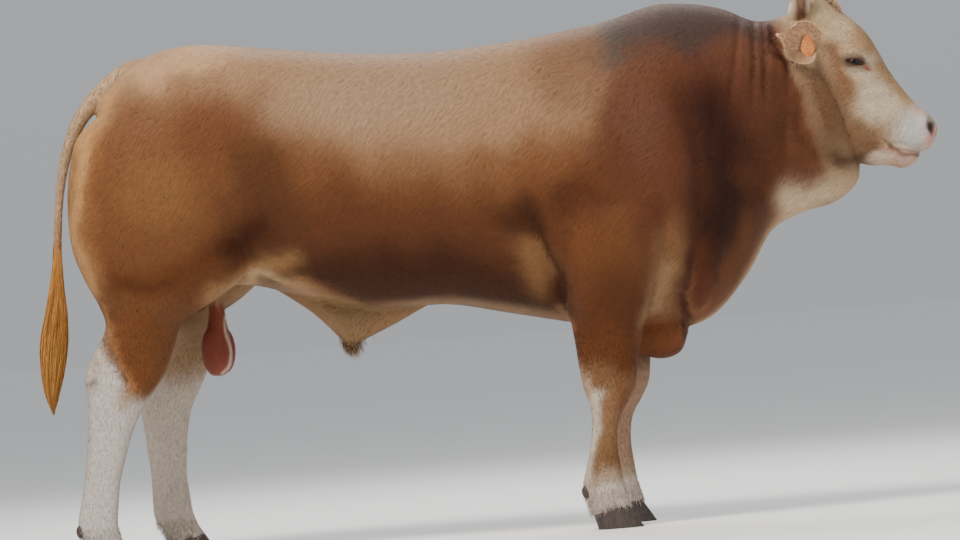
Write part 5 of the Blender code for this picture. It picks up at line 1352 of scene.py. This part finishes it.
# %% [markdown]
# The horns are short and curve up. A horn is a tube along a smooth line that ends in a blunt
# point, with rings at its root where it grows. Its front and rear edges are painted pale, a painted
# highlight, while its middle stays dark brown.

# %% Horns
HORN_LINE = [(0.706, 0.055, 1.528), (0.710, 0.108, 1.556), (0.718, 0.142, 1.602), (0.732, 0.152, 1.655)]
HORN_RADII = [0.031, 0.0285, 0.0192, 0.0030]

horn_material = horn_like("horn", (0.085, 0.038, 0.022), (0.20, 0.105, 0.062), (90, 90, 16), 0.38, 70.0)
tree = horn_material.node_tree
shader = tree.nodes["Principled BSDF"]
tones = next(part for part in tree.nodes if part.bl_idname == "ShaderNodeValToRGB")
# painted highlight: the horn is mixed towards pale with its distance in x from its middle line, so its
# front and rear edges are light and its middle dark
way_round = node(tree, "TexCoord", (-900, 500))
split = node(tree, "SeparateXYZ", (-700, 500))
band = node(tree, "MapRange", (-500, 500))
middle_x = float(HORN_LINE[1][0] + SHIFT[0])
band.inputs["From Min"].default_value, band.inputs["From Max"].default_value = 0.010, 0.026
away_x = node(tree, "Math", (-600, 620))
away_x.operation, away_x.inputs[1].default_value = "SUBTRACT", middle_x
size_x = node(tree, "Math", (-550, 620))
size_x.operation = "ABSOLUTE"
pale = node(tree, "Mix", (-200, 300))
pale.data_type = "RGBA"
pale.inputs[7].default_value = (0.52, 0.40, 0.27, 1.0)
link(way_round, "Object", split, "Vector")
link(split, "X", away_x, 0)
link(away_x, "Value", size_x, 0)
link(size_x, "Value", band, "Value")
link(band, "Result", pale, 0)
link(tones, "Color", pale, 6)
link(pale, 2, shader, "Base Color")
for side, where in ((-1, "right"), (1, "left")):
    line = np.array(HORN_LINE) * (1, side, 1)
    shell = tube(line, HORN_RADII, sides=64, steps=24)
    finish_mesh(f"horn_{where}_sheath", [shell], horn_material, f"horn_{where}")

# %% [markdown]
# An eye of cattle is nearly black: a dark brown iris with a pupil that lies flat, under a clear,
# wet front. The colours are set by the place on the ball, in the frame of the lids.

# %% Eyes


def eye_finish(name, middle):
    """Pupil, iris and white by the distance from the middle of the eye, longer along the lids."""
    made = plain_material(name, (0.02, 0.01, 0.006), 0.16)
    tree = made.node_tree
    shader = tree.nodes["Principled BSDF"]
    shader.inputs["Specular IOR Level"].default_value = 0.16
    place = node(tree, "TexCoord", (-1300, 0))
    centred = node(tree, "Mapping", (-1100, 0))
    centred.vector_type = "TEXTURE"
    centred.inputs["Location"].default_value = middle
    centred.inputs["Rotation"].default_value = (0.0, math.radians(16), 0.0)
    centred.inputs["Scale"].default_value = (0.030, 0.030, 0.022)
    flat = node(tree, "VectorMath", (-900, 0))
    flat.operation = "MULTIPLY"
    flat.inputs[1].default_value = (1.0, 0.0, 1.0)
    away = node(tree, "VectorMath", (-720, 0))
    away.operation = "LENGTH"
    tones = node(tree, "ValToRGB", (-500, 0))
    stops = ((0.0, (0.004, 0.004, 0.005)), (0.30, (0.005, 0.004, 0.004)), (0.36, (0.028, 0.013, 0.007)),
             (0.66, (0.048, 0.022, 0.012)), (0.76, (0.012, 0.007, 0.005)), (0.95, (0.10, 0.06, 0.05)))
    while len(tones.color_ramp.elements) < len(stops):
        tones.color_ramp.elements.new(1.0)
    for element, (position, colour) in zip(tones.color_ramp.elements, stops):
        element.position, element.color = position, (*colour, 1.0)
    link(place, "Object", centred, "Vector")
    link(centred, "Vector", flat, 0)
    link(flat, "Vector", away, 0)
    link(away, "Value", tones, "Fac")
    link(tones, "Color", shader, "Base Color")
    return made


for side, where in ((-1, "right"), (1, "left")):
    middle = EYE * (1, side, 1)
    shell = ball(middle, (EYE_LONG, EYE_RADIUS, EYE_RADIUS), 96, 64)
    finish_mesh(f"eyeball_{where}", [shell], eye_finish(f"wet_eye_{where}", tuple(middle + SHIFT)),
                f"eye_{where}")

# %% [markdown]
# The ear tag is a blank kite of orange plastic, held by a stud that goes through the ear. Its
# outline is a closed curve, repeated on five levels so that the edge is rounded.

# %% Ear tag
tag_low, tag_high = (np.array(corner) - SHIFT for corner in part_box("ear_tag_right"))
TAG_OUT = np.array((0.36, -0.93, 0.0))
TAG_OUT = TAG_OUT / np.linalg.norm(TAG_OUT)
TAG_TALL, TAG_WIDE, TAG_THICK = 0.072, 0.048, 0.0024


def tag_plate(middle):
    """A kite stood on its point: |across / half width| + |rise / half height| = 1 with an
    exponent of 1.5 for soft corners, its widest place lower than its middle; the edge is rounded
    over five levels."""
    angle = round_angles(96)
    c, s = superellipse(angle, 1.5)
    across, rise = TAG_WIDE / 2 * c, TAG_TALL / 2 * s - 0.008 * np.abs(c)
    along = np.cross((0, 0, 1), TAG_OUT)
    rings = []
    for inset, level in ((0.0010, -1.0), (0.0003, -0.7), (0.0, 0.0), (0.0003, 0.7), (0.0010, 1.0)):
        shrink = 1 - inset / 0.022
        flat = (across * shrink)[:, None] * along + (rise * shrink)[:, None] * np.array((0, 0, 1.0))
        rings.append(middle + flat + TAG_OUT * level * TAG_THICK / 2)
    return ring_mesh(np.array(rings))


def short_rod(start, end, radius):
    """A rod with a slightly domed head: the radius shrinks on its last tenth."""
    line = start + np.linspace(0, 1, 8)[:, None] * (end - start)
    return tube(line, radius * np.array((0.6, 1, 1, 1, 1, 1, 0.92, 0.6)), 32, 2)


tag_middle = (tag_low + tag_high) / 2 + np.array((0.0, -0.002, -0.003))
stud = tag_middle + np.array((0, 0, 0.020))
shells = [tag_plate(tag_middle), short_rod(stud - TAG_OUT * 0.001, stud + TAG_OUT * 0.0045, 0.0070),
          short_rod(stud - TAG_OUT * 0.020, stud, 0.0028)]
tag_material = plain_material("tag_plastic", (0.80, 0.26, 0.055), 0.42)
tree = tag_material.node_tree
wear = node(tree, "TexNoise", (-700, 0), Scale=160.0, Detail=4.0)
wear_tones = node(tree, "ValToRGB", (-450, 0))
set_tones(wear_tones, ((0.35, (0.62, 0.17, 0.03, 1)), (0.62, (0.86, 0.30, 0.07, 1))))
link(node(tree, "TexCoord", (-900, 0)), "Object", wear, "Vector")
link(wear, "Fac", wear_tones, "Fac")
link(wear_tones, "Color", tree.nodes["Principled BSDF"], "Base Color")
finish_mesh("tag_and_stud", shells, tag_material, "ear_tag_right")
print("the tag is", TAG_TALL, "m tall, in a box from", np.round(tag_low, 3), "to", np.round(tag_high, 3))

# %% [markdown]
# The skin now goes into the frame with its colours. It stands for every node of flesh, since one
# skin without a seam covers them all.

# %% Skin in the frame
place_points(skin.data, skin_places + SHIFT)
store_colour(skin.data, "coat_colour", skin_colour)
store_number(skin.data, "bare", skin_bare)
skin.data.materials.clear()
skin.data.materials.append(coat)
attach(skin, "root")
ends, sides, halves = ("fore", "hind"), ("right", "left"), ("upper", "lower")
leg_nodes = [f"{end}leg_{side}_{half}" for end in ends for side in sides for half in halves]
ear_nodes = [f"ear_{side}" for side in sides]
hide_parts("torso", "neck", "head", "tail_upper", "tail_lower", "scrotum", *ear_nodes, *leg_nodes)
print("one skin stands for", 6 + len(ear_nodes) + len(leg_nodes), "nodes")

# %% [markdown]
# The hair itself is short and lies flat, but it still breaks the outline and catches the light.
# It is made of many thin, tapered tufts of solid mesh that overlap like thatch. Their roots are
# drawn evenly over the skin's area, and each tuft follows the way the hair lies at its root:
# back and down over the trunk, down the legs, and from the brow to the nose on the face.

# %% Roots and lie of the hair
skin_faces = np.empty(len(skin.data.loops), np.int32)
skin.data.loops.foreach_get("vertex_index", skin_faces)
skin_faces = skin_faces.reshape(-1, 3)
skin_outside = vertex_normals(skin.data)
face_corners = skin_places[skin_faces]
face_middles = face_corners.mean(axis=1)
face_areas = np.linalg.norm(np.cross(face_corners[:, 1] - face_corners[:, 0],
                                     face_corners[:, 2] - face_corners[:, 0]), axis=1) / 2


def unit(vectors):
    """Each vector divided by its length."""
    return vectors / np.maximum(np.linalg.norm(vectors, axis=-1, keepdims=True), 1e-9)


def laid(way, outside):
    """The way less its part along the normal, so that it runs along the surface."""
    return unit(way - (way * outside).sum(axis=1, keepdims=True) * outside)


def draw_roots(weight, count, lot):
    """Places and normals: steps of equal size through the summed area times weight, each with a
    random offset, pick the faces; a random mix of the corners is the place on each."""
    total = np.cumsum(face_areas * weight)
    picked = np.searchsorted(total, (np.arange(count) + lot.uniform(0, 1, count)) / count * total[-1])
    picked = np.minimum(picked, len(total) - 1)
    share = lot.dirichlet((1, 1, 1), count)[:, :, None]
    corners = skin_faces[picked]
    return (skin_places[corners] * share).sum(axis=1), unit((skin_outside[corners] * share).sum(axis=1))


def on_leg(points):
    """1 on the legs below elbow and flank."""
    p = as_near_side(points)
    hind = (p[:, 0] < -1.0) & (p[:, 2] < 0.84)
    fore = (p[:, 0] > -0.25) & (p[:, 2] < 0.62)
    return ((hind | fore) & (p[:, 1] > 0.085)).astype(float)


def on_tail(points):
    """1 near the middle line of the tail and behind its root."""
    line = np.interp(points[:, 2], [row[1] for row in TAIL[::-1]], [row[0] for row in TAIL[::-1]])
    close = (np.abs(points[:, 1]) < 0.045) & (points[:, 0] < line + 0.035) & (points[:, 2] < 1.53)
    return (close & (points[:, 0] < -1.38)).astype(float)


def lie(points, outside):
    """Way the hair lies: back and down on the trunk, down on the legs and tail, towards the nose
    on the front of the face and back over the cheeks, and out along the ears; small waves turn
    it, and it is laid into the surface."""
    way = np.tile((-0.62, 0.0, -0.78), (len(points), 1))
    p = folded(points)
    leg, head, ear, tail = on_leg(points), on_head(points), on_ear(points), on_tail(points)
    way += leg[:, None] * (0.52, 0.0, -0.50)
    front = smooth_step(outside[:, 0], 0.15, 0.55)
    below_whorl = smooth_step(p[:, 0], 0.84, 0.90)
    face = front[:, None] * (2 * below_whorl[:, None] - 1) * (0.62, 0.0, -0.78)
    face = face + (1 - front)[:, None] * (-0.55, 0.0, -0.75)
    way += head[:, None] * (face - way)
    out_ear = ear_axis * (1, 1, 1) * np.where(points[:, 1:2] < 0, (1, -1, 1), (1, 1, 1))
    way += ear[:, None] * (out_ear - way)
    way += tail[:, None] * (np.array((-0.15, 0.0, -1.0)) - way)
    swirl = 0.22 * waves(points, 0.20, 21) + 0.10 * waves(points, 0.05, 22)
    way = laid(way, outside)
    side = np.cross(outside, way)
    return unit(way * np.cos(swirl)[:, None] + side * np.sin(swirl)[:, None])


print("the skin covers", round(face_areas.sum(), 2), "square metres")

# %% [markdown]
# A tuft has three sides and runs from a triangle at its root over a wider one to a point: seven
# points and ten triangles. Its colour is the mark's colour at its root, a little darker there and
# lighter at the tip. For the bake, each tuft is a patch of 0.003 at the place of its root on an
# unwrap of the part it grows on, such as the angle round the trunk and the way along it.

# %% Tufts
skin_tree = BVHTree.FromPolygons(skin_places.tolist(), skin_faces.tolist())
TUFT_FACES = np.array([(0, 2, 1), (0, 1, 4), (0, 4, 3), (1, 2, 5), (1, 5, 4),
                       (2, 0, 3), (2, 3, 5), (3, 4, 6), (4, 5, 6), (5, 3, 6)])
TUFT_SHADE = np.array((0.95, 0.95, 0.97, 1.0, 1.0, 1.01, 1.05))
PATCH = 0.003
TUFT_PATCH = PATCH * (np.array([(0, 0), (1, 0), (0.5, 0), (0, 0.6), (1, 0.6), (0.5, 0.6), (0.5, 1)]) - 0.5)


def on_skin(points):
    """The nearest places on the skin, so that hair also follows folds and hollows."""
    return np.array([skin_tree.find_nearest(point)[0] for point in points.tolist()])


def tuft_points(roots, outside, way, length, width, lift):
    """Root triangle sunk by a fifth of the lift, middle triangle raised by the lift 45 percent of
    the way along the skin, and the tip lower again; each triangle is one width to both sides and
    its third corner stands up by 0.22 of the width."""
    side = np.cross(outside, way)
    base = roots - 0.2 * lift * outside
    middle = on_skin(roots + 0.45 * length * way) + lift * outside
    tip = on_skin(roots + length * way) + 0.35 * lift * outside
    rings = []
    for centre, half in ((base, 0.7 * width), (middle, width)):
        rings += [centre + half * side, centre - half * side, centre + 0.22 * half * outside]
    return np.stack([rings[0], rings[1], rings[2], rings[3], rings[4], rings[5], tip], axis=1)


def hair_piece(name, points, faces, colour, patches, material=None):
    """A coat piece from tufts (count, corners, 3), the faces of one tuft, a colour for each corner
    and a place on the bake's map for each corner."""
    count, corners, _ = points.shape
    mesh = bpy.data.meshes.new(name)
    every = (faces[None] + (np.arange(count) * corners)[:, None, None]).reshape(-1, 3)
    fill_mesh(mesh, points.reshape(-1, 3) + SHIFT, every)
    store_colour(mesh, "coat_colour", colour.reshape(-1, 3))
    layer = mesh.uv_layers.new(name="OFBake")
    layer.uv.foreach_set("vector", patches.reshape(-1, 2)[every.ravel()].astype(np.float32).ravel())
    mesh.shade_smooth()
    mesh.materials.append(material or hair)
    obj = put(name, mesh)
    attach(obj, "root")
    return obj


def hair_material(name, roughness=0.5):
    """The stored colour, broken up by fine noise; soft gloss without a coat."""
    made = plain_material(name, (0.4, 0.25, 0.15), roughness)
    tree = made.node_tree
    shader = tree.nodes["Principled BSDF"]
    shader.inputs["Specular IOR Level"].default_value = 0.12
    shader.inputs["Sheen Weight"].default_value = 0.012
    colour = node(tree, "Attribute", (-900, 200))
    colour.attribute_name = "coat_colour"
    place = node(tree, "TexCoord", (-1300, 0))
    grain = node(tree, "TexNoise", (-1100, 0), Scale=900.0, Detail=2.0)
    spread = node(tree, "MapRange", (-900, 0))
    spread.inputs["To Min"].default_value, spread.inputs["To Max"].default_value = 0.78, 1.22
    scaled = node(tree, "VectorMath", (-600, 100))
    scaled.operation = "SCALE"
    bump = node(tree, "Bump", (-400, -200), Strength=0.3, Distance=0.0004)
    link(place, "Object", grain, "Vector")
    link(grain, "Fac", spread, "Value")
    link(colour, "Color", scaled, "Vector")
    link(spread, "Result", scaled, "Scale")
    link(scaled, "Vector", shader, "Base Color")
    link(grain, "Fac", bump, "Height")
    link(bump, "Normal", shader, "Normal")
    return made


hair = hair_material("coat_hair")


def around(points, middle_z, low, high):
    """Unwrap of trunk, neck or head: the way along x, and the angle round the middle line."""
    turn = np.arctan2(points[:, 1], middle_z - points[:, 2]) / (2 * math.pi) + 0.5
    return np.c_[(points[:, 0] - low) / (high - low), turn]


def down_legs(points, top, middle_x):
    """Unwrap of two legs side by side: the angle round each leg, and the height."""
    p = as_near_side(points)
    turn = np.arctan2(p[:, 1] - 0.187, p[:, 0] - np.interp(p[:, 2], *middle_x)) / (2 * math.pi) + 0.5
    return np.c_[0.5 * turn + 0.5 * (points[:, 1] > 0), p[:, 2] / top]


def short_coat(name, weight, count, length, width, lift, chart, seed):
    """Tufts drawn over the skin by weight, none on bare skin, each of its own size and tone."""
    lot = np.random.default_rng(seed)
    count = count
    roots, outside = draw_roots(weight, count, lot)
    keep = bareness(roots) < 0.3
    roots, outside = roots[keep], outside[keep]
    size = lot.uniform(0.65, 1.35, (len(roots), 1)) * (1 - 0.5 * smooth_step(roots[:, :1], 0.98, 1.04))
    way = lie(roots, outside)
    way = unit(way + 0.06 * lot.normal(size=way.shape))
    way = laid(way, outside)
    points = tuft_points(roots, outside, way, length * size, width * np.sqrt(size), lift * size)
    tone = lot.uniform(0.94, 1.07, (len(roots), 1)) * (1 + 0.10 * waves(roots, 0.02, 31)[:, None])
    colour = (coat_colour(roots) * tone)[:, None] * TUFT_SHADE[None, :, None]
    patches = np.clip(chart(roots), 0.004, 0.996)[:, None] + TUFT_PATCH[None]
    hair_piece(name, points, TUFT_FACES, np.clip(colour, 0.001, 1), patches)
    print(name, "has", len(roots), "tufts")


# %% Short coat
head_share, ear_share = on_head(face_middles), on_ear(face_middles)
leg_share, tail_share = on_leg(face_middles), on_tail(face_middles)
trunk_share = (1 - np.maximum.reduce([head_share, ear_share, leg_share, tail_share])).clip(0, 1)
TRUNK_PARTS = {
    "coat_rump": (-1.66, -1.15), "coat_loin": (-1.15, -0.70), "coat_ribs": (-0.70, -0.25),
    "coat_shoulder": (-0.25, 0.15), "coat_withers": (0.15, 0.45), "coat_neck": (0.45, 0.86),
}
for seed, (name, (low, high)) in enumerate(TRUNK_PARTS.items()):
    inside = (face_middles[:, 0] >= low) & (face_middles[:, 0] < high)
    short_coat(name, trunk_share * inside, 12000, 0.017, 0.0008, 0.00012,
               lambda p: around(p, 1.10, low, high), 40 + seed)
short_coat("coat_head", head_share * (1 - ear_share), 17500, 0.0088, 0.00055, 0.0006,
           lambda p: around(p, 1.30, 0.60, 1.12), 50)
fore_line = [(0.0, 0.5, 0.9), (0.0, 0.03, 0.09)]
hind_line = [(0.0, 0.45, 0.6, 0.85), (-1.54, -1.50, -1.43, -1.34)]
fore_share = leg_share * (face_middles[:, 0] > -0.6)
short_coat("coat_forelegs", fore_share, 9500, 0.012, 0.00075, 0.0006,
           lambda p: down_legs(p, 0.70, fore_line), 51)
short_coat("coat_hindlegs", leg_share - fore_share, 12000, 0.012, 0.00075, 0.0006,
           lambda p: down_legs(p, 0.90, hind_line), 52)
short_coat("coat_ears", ear_share, 3500, 0.012, 0.0007, 0.0008,
           lambda p: around(p, 1.44, 0.55, 0.82), 53)
short_coat("coat_tail", tail_share, 2600, 0.016, 0.0007, 0.0006,
           lambda p: np.c_[np.arctan2(p[:, 1], p[:, 0] + 1.5) / (2 * math.pi) + 0.5, p[:, 2] / 1.6], 54)

# %% [markdown]
# Long hair is made as strands: a thin, tapered body carried along a line. The same helper makes
# the switch, the curls of the poll, the fringe in the ears, the lashes and the hair over the
# hooves; only the lines differ.

# %% Strands


def strand_points(lines, width, thick, lot, sides=3):
    """Along each line (count, rings, 3) a flat ellipse of `sides` points across it, turned at
    random, whose size goes from 0.6 at the root over 1 at 30 percent to 0.08 at the tip."""
    count, rings, _ = lines.shape
    along = unit(np.gradient(lines, axis=1))
    guide = np.repeat(unit(lot.normal(size=(count, 1, 3))), rings, axis=1)
    u = unit(np.cross(along, guide))
    v = np.cross(along, u)
    size = np.interp(np.linspace(0, 1, rings), [0, 0.3, 1], [0.6, 1.0, 0.08])[None, :, None, None]
    angle = round_angles(sides)[None, None, :, None]
    ring = width * np.cos(angle) * u[:, :, None] + thick * np.sin(angle) * v[:, :, None]
    return (lines[:, :, None] + size * ring).reshape(count, -1, 3)


def strand_faces(rings, sides=3):
    """Triangles of one closed strand of `rings` rings: its sides, and a fan over each end."""
    i, j = np.meshgrid(np.arange(rings - 1), np.arange(sides), indexing="ij")
    a, b = i * sides + j, i * sides + (j + 1) % sides
    wall = np.concatenate([np.stack([a, b, b + sides], -1), np.stack([a, b + sides, a + sides], -1)])
    k = np.arange(1, sides - 1)
    root = np.stack([0 * k, k + 1, k], -1)
    tip = np.stack([0 * k, k, k + 1], -1) + (rings - 1) * sides
    return np.vstack([wall.reshape(-1, 3), root, tip])


def long_hair(name, lines, width, thick, colour, places, lot, material=None):
    """A coat piece of strands, darker at the root and lighter towards the tip."""
    count, rings, _ = lines.shape
    points = strand_points(lines, width, thick, lot)
    shade = np.repeat(np.linspace(0.80, 1.16, rings), 3)[None, :, None]
    tone = lot.uniform(0.80, 1.20, (count, 1, 1))
    t, corner = np.repeat(np.linspace(0, 1, rings), 3), np.tile((0.0, 0.5, 1.0), rings)
    patches = np.clip(places, 0.004, 0.996)[:, None] + PATCH * (np.c_[corner, t] - 0.5)[None]
    hair_piece(name, points, strand_faces(rings), np.clip(colour[:, None] * tone * shade, 0.001, 1),
               patches, material)
    print(name, "has", count, "strands")


def bent(roots, outside, way, length, rise, droop, rings=5):
    """Lines that leave the skin along `way`, rise over it by a half sine and then droop:
    root + length * t * way + rise * sin(pi t / 2) * outside - droop * t squared downwards."""
    t = np.linspace(0, 1, rings)[None, :, None]
    lift = rise * np.sin(0.5 * math.pi * t) * outside[:, None]
    down = droop * t ** 2 * np.array((0, 0, 1.0))
    return roots[:, None] + length[:, None, None] * t * way[:, None] + lift - down


# %% [markdown]
# The tail ends in a switch of long, straight hair. It starts on the tail itself, runs out to the
# switch's outline and gathers again towards its tip. Deep strands are darker than outer ones, a
# painted shade inside the switch.

# %% Switch
SWITCH = [
    (-1.637, 1.04, 0.014),
    (-1.6415, 0.985, 0.015),
    (-1.645, 0.93, 0.0175),
    (-1.6535, 0.86, 0.0265),
    (-1.66, 0.79, 0.0375),
    (-1.674, 0.7, 0.0465),
    (-1.683, 0.62, 0.04),
    (-1.691, 0.54, 0.0235),
    (-1.692, 0.478, 0.002),
]
SWITCH_DEEP = 0.80                        # its depth, as a share of its width
SWITCH_DARK, SWITCH_PALE = (104, 62, 28), (206, 146, 76)


def switch_outline(s):
    """The switch's middle and half width, s of the way from its top (0) to its tip (1)."""
    rows = through(SWITCH, 8)
    at = s * (len(rows) - 1)
    x, z, half = (np.interp(at, np.arange(len(rows)), rows[:, i]) for i in range(3))
    return np.stack([x, np.zeros_like(x), z], axis=-1), half


lot = np.random.default_rng(11)
count, rings = (2700), 9
start = lot.uniform(0.0, 0.66, count)
end = np.minimum(1.0, start + lot.uniform(0.26, 0.46, count))
turn = lot.uniform(0, 2 * math.pi, count)
reach = np.sqrt(lot.uniform(0.03, 1, count))
t = np.linspace(0, 1, rings)[None]
middle, half = switch_outline(start[:, None] + (end - start)[:, None] * t)
share = reach[:, None] * np.interp(t, [0, 0.25, 1], [0.55, 0.92, 1.0])
angle = turn[:, None] + lot.uniform(-0.35, 0.35, count)[:, None] * t + 0.06 * np.sin(9 * t + turn[:, None])
out = np.stack([np.cos(angle), SWITCH_DEEP * np.sin(angle), 0 * angle], -1)
lines = middle + out * (half * share)[..., None]
# painted shade: strands deep in the switch take the darker colour, outer ones the paler
out_of_shade = smooth_step(reach + 0.25 * lot.normal(size=count), 0.35, 1.0)[:, None]
colour = paint(SWITCH_DARK) + out_of_shade * (paint(SWITCH_PALE) - paint(SWITCH_DARK))
long_hair("switch_strands", lines, 0.0014, 0.0009, colour,
          np.c_[(turn / (2 * math.pi)) % 1, 0.9 * start + 0.05], lot,
          hair_material("switch_hair", 0.42))
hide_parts("tail_switch")

# %% [markdown]
# Between the horns the hair curls into a light mop, as on most bulls. Each curl is a screw line
# whose axis leaves the skin and bends over towards the brow.

# %% Curls of the poll
poll = folded(face_middles)
poll_share = ((poll[:, 0] > 0.715) & (poll[:, 0] < 0.835) & (poll[:, 1] < 0.085) & (poll[:, 2] > 1.515)
              & (face_middles[:, 2] > 1.52)).astype(float)
poll_share *= smooth_step(-poll[:, 1], -0.085, -0.055)
lot = np.random.default_rng(12)
count, rings = (760), 12
roots, outside = draw_roots(poll_share, count, lot)
way = unit(lie(roots, outside) + 0.9 * outside + 0.35 * lot.normal(size=roots.shape))
t = np.linspace(0, 1, rings)[None, :, None]
axis = bent(roots, outside, way, lot.uniform(0.016, 0.030, count), 0.006, 0.008, rings)
side = unit(np.cross(way, (0.3, 0.5, 0.8)))
other = np.cross(way, side)
coil = (2 * math.pi * lot.uniform(0.9, 1.7, count)[:, None, None] * t + lot.uniform(0, 6.3, (count, 1, 1)))
wide = 0.0042 * np.sin(math.pi * np.minimum(1, 1.6 * t + 0.08)) ** 0.5
wide = wide * lot.uniform(0.6, 1.2, (count, 1, 1))
lines = axis + wide * (np.cos(coil) * side[:, None] + np.sin(coil) * other[:, None])
colour = coat_colour(roots) * 0.5 + paint((210, 174, 138)) * 0.5
long_hair("poll_curls", lines, 0.0011, 0.0007, colour, around(roots, 1.40, 0.68, 0.88), lot)

# %% [markdown]
# Soft long hair fringes the ears and fills their cups. It grows from the inner face and the rim
# and points out towards the tip.

# %% Hair of the ears
lot = np.random.default_rng(13)
away = folded(face_middles) - EAR_ROOT
rim = smooth_step(np.abs(away @ ear_across) / EAR_HALF, 0.35, 0.8)
count = 1250
roots, outside = draw_roots(ear_share * (0.15 + rim), count, lot)
mirror = np.where(roots[:, 1:2] < 0, (1, -1, 1), (1, 1, 1))
way = 0.7 * ear_axis * mirror + 0.5 * ear_face * mirror + 0.3 * outside
way = unit(way + 0.25 * lot.normal(size=roots.shape))
reach = (folded(roots) - EAR_ROOT) @ ear_axis / ear_length
long = lot.uniform(0.010, 0.024, count) * (1 - 0.65 * smooth_step(reach, 0.55, 0.9))
lines = bent(roots, outside, way, long, 0.002, 0.004)
colour = coat_colour(roots) * 0.35 + paint((236, 210, 184)) * 0.65
long_hair("ear_fringe", lines, 0.0006, 0.0004, colour, around(roots, 1.44, 0.55, 0.82), lot)

# %% [markdown]
# Lashes stand in a row on the rim of the upper lid. They leave it outwards and bend down, which
# gives the resting eye its heavy look.

# %% Lashes
lot = np.random.default_rng(14)
per_eye = 46
turn = np.tile(np.linspace(0.15, 0.90, per_eye) * math.pi, 2) + lot.normal(0, 0.02, 2 * per_eye)
flip = np.repeat((-1, 1), per_eye)[:, None]
u, v = 1.04 * ALMOND_LENGTH * np.cos(turn), 1.10 * ALMOND_UPPER * np.sin(turn)
ball_long, ball_high = EYE_LONG + LID_OVER, EYE_RADIUS + LID_OVER
rise = ball_high * np.sqrt(1 - (u / ball_long) ** 2 - (v / ball_high) ** 2)
roots = EYE + u[:, None] * ALONG + v[:, None] * ACROSS + rise[:, None] * np.array((0, 1.0, 0))
way = unit(np.array((0, 1.0, 0)) + 0.5 * (np.cos(turn)[:, None] * ALONG) - 0.25 * ACROSS)
lines = bent(roots, ACROSS + 0 * roots, way, lot.uniform(0.009, 0.014, 2 * per_eye), 0.001, 0.007)
lines[:, :, 1] *= flip
places = np.c_[np.linspace(0.1, 0.9, 2 * per_eye), np.full(2 * per_eye, 0.5)]
long_hair("lashes", lines, 0.00035, 0.00025, np.tile(paint((70, 48, 40)), (2 * per_eye, 1)), places, lot)

# %% [markdown]
# A little longer hair hangs over the coronets, from the tip of the sheath and behind the
# fetlocks, where it hides the joint between hair and horn.

# %% Hair over the hooves and at the sheath
lot = np.random.default_rng(15)
low = leg_share * smooth_step(-face_middles[:, 2], -0.135, -0.105) * (face_middles[:, 2] > 0.052)
roots, outside = draw_roots(low, 2700, lot)
way = unit(np.array((0, 0, -1.0)) + 0.35 * outside + 0.10 * lot.normal(size=roots.shape))
lines = bent(roots, outside, way, lot.uniform(0.012, 0.021, len(roots)), 0.0015, 0.0)
long_hair("coronet_hair", lines, 0.0009, 0.0006, coat_colour(roots), down_legs(roots, 0.2, fore_line), lot)

tip = np.exp(-(((folded(face_middles) - (-0.757, 0.0, 0.612)) / (0.030, 0.030, 0.030)) ** 2).sum(axis=1))
roots, outside = draw_roots(tip, 320, lot)
way = unit(np.array((0.25, 0, -1.0)) + 0.25 * outside + 0.12 * lot.normal(size=roots.shape))
lines = bent(roots, outside, way, lot.uniform(0.018, 0.040, len(roots)), 0.002, 0.0)
long_hair("sheath_tuft", lines, 0.0007, 0.0005, coat_colour(roots), around(roots, 0.7, -0.9, -0.6), lot)
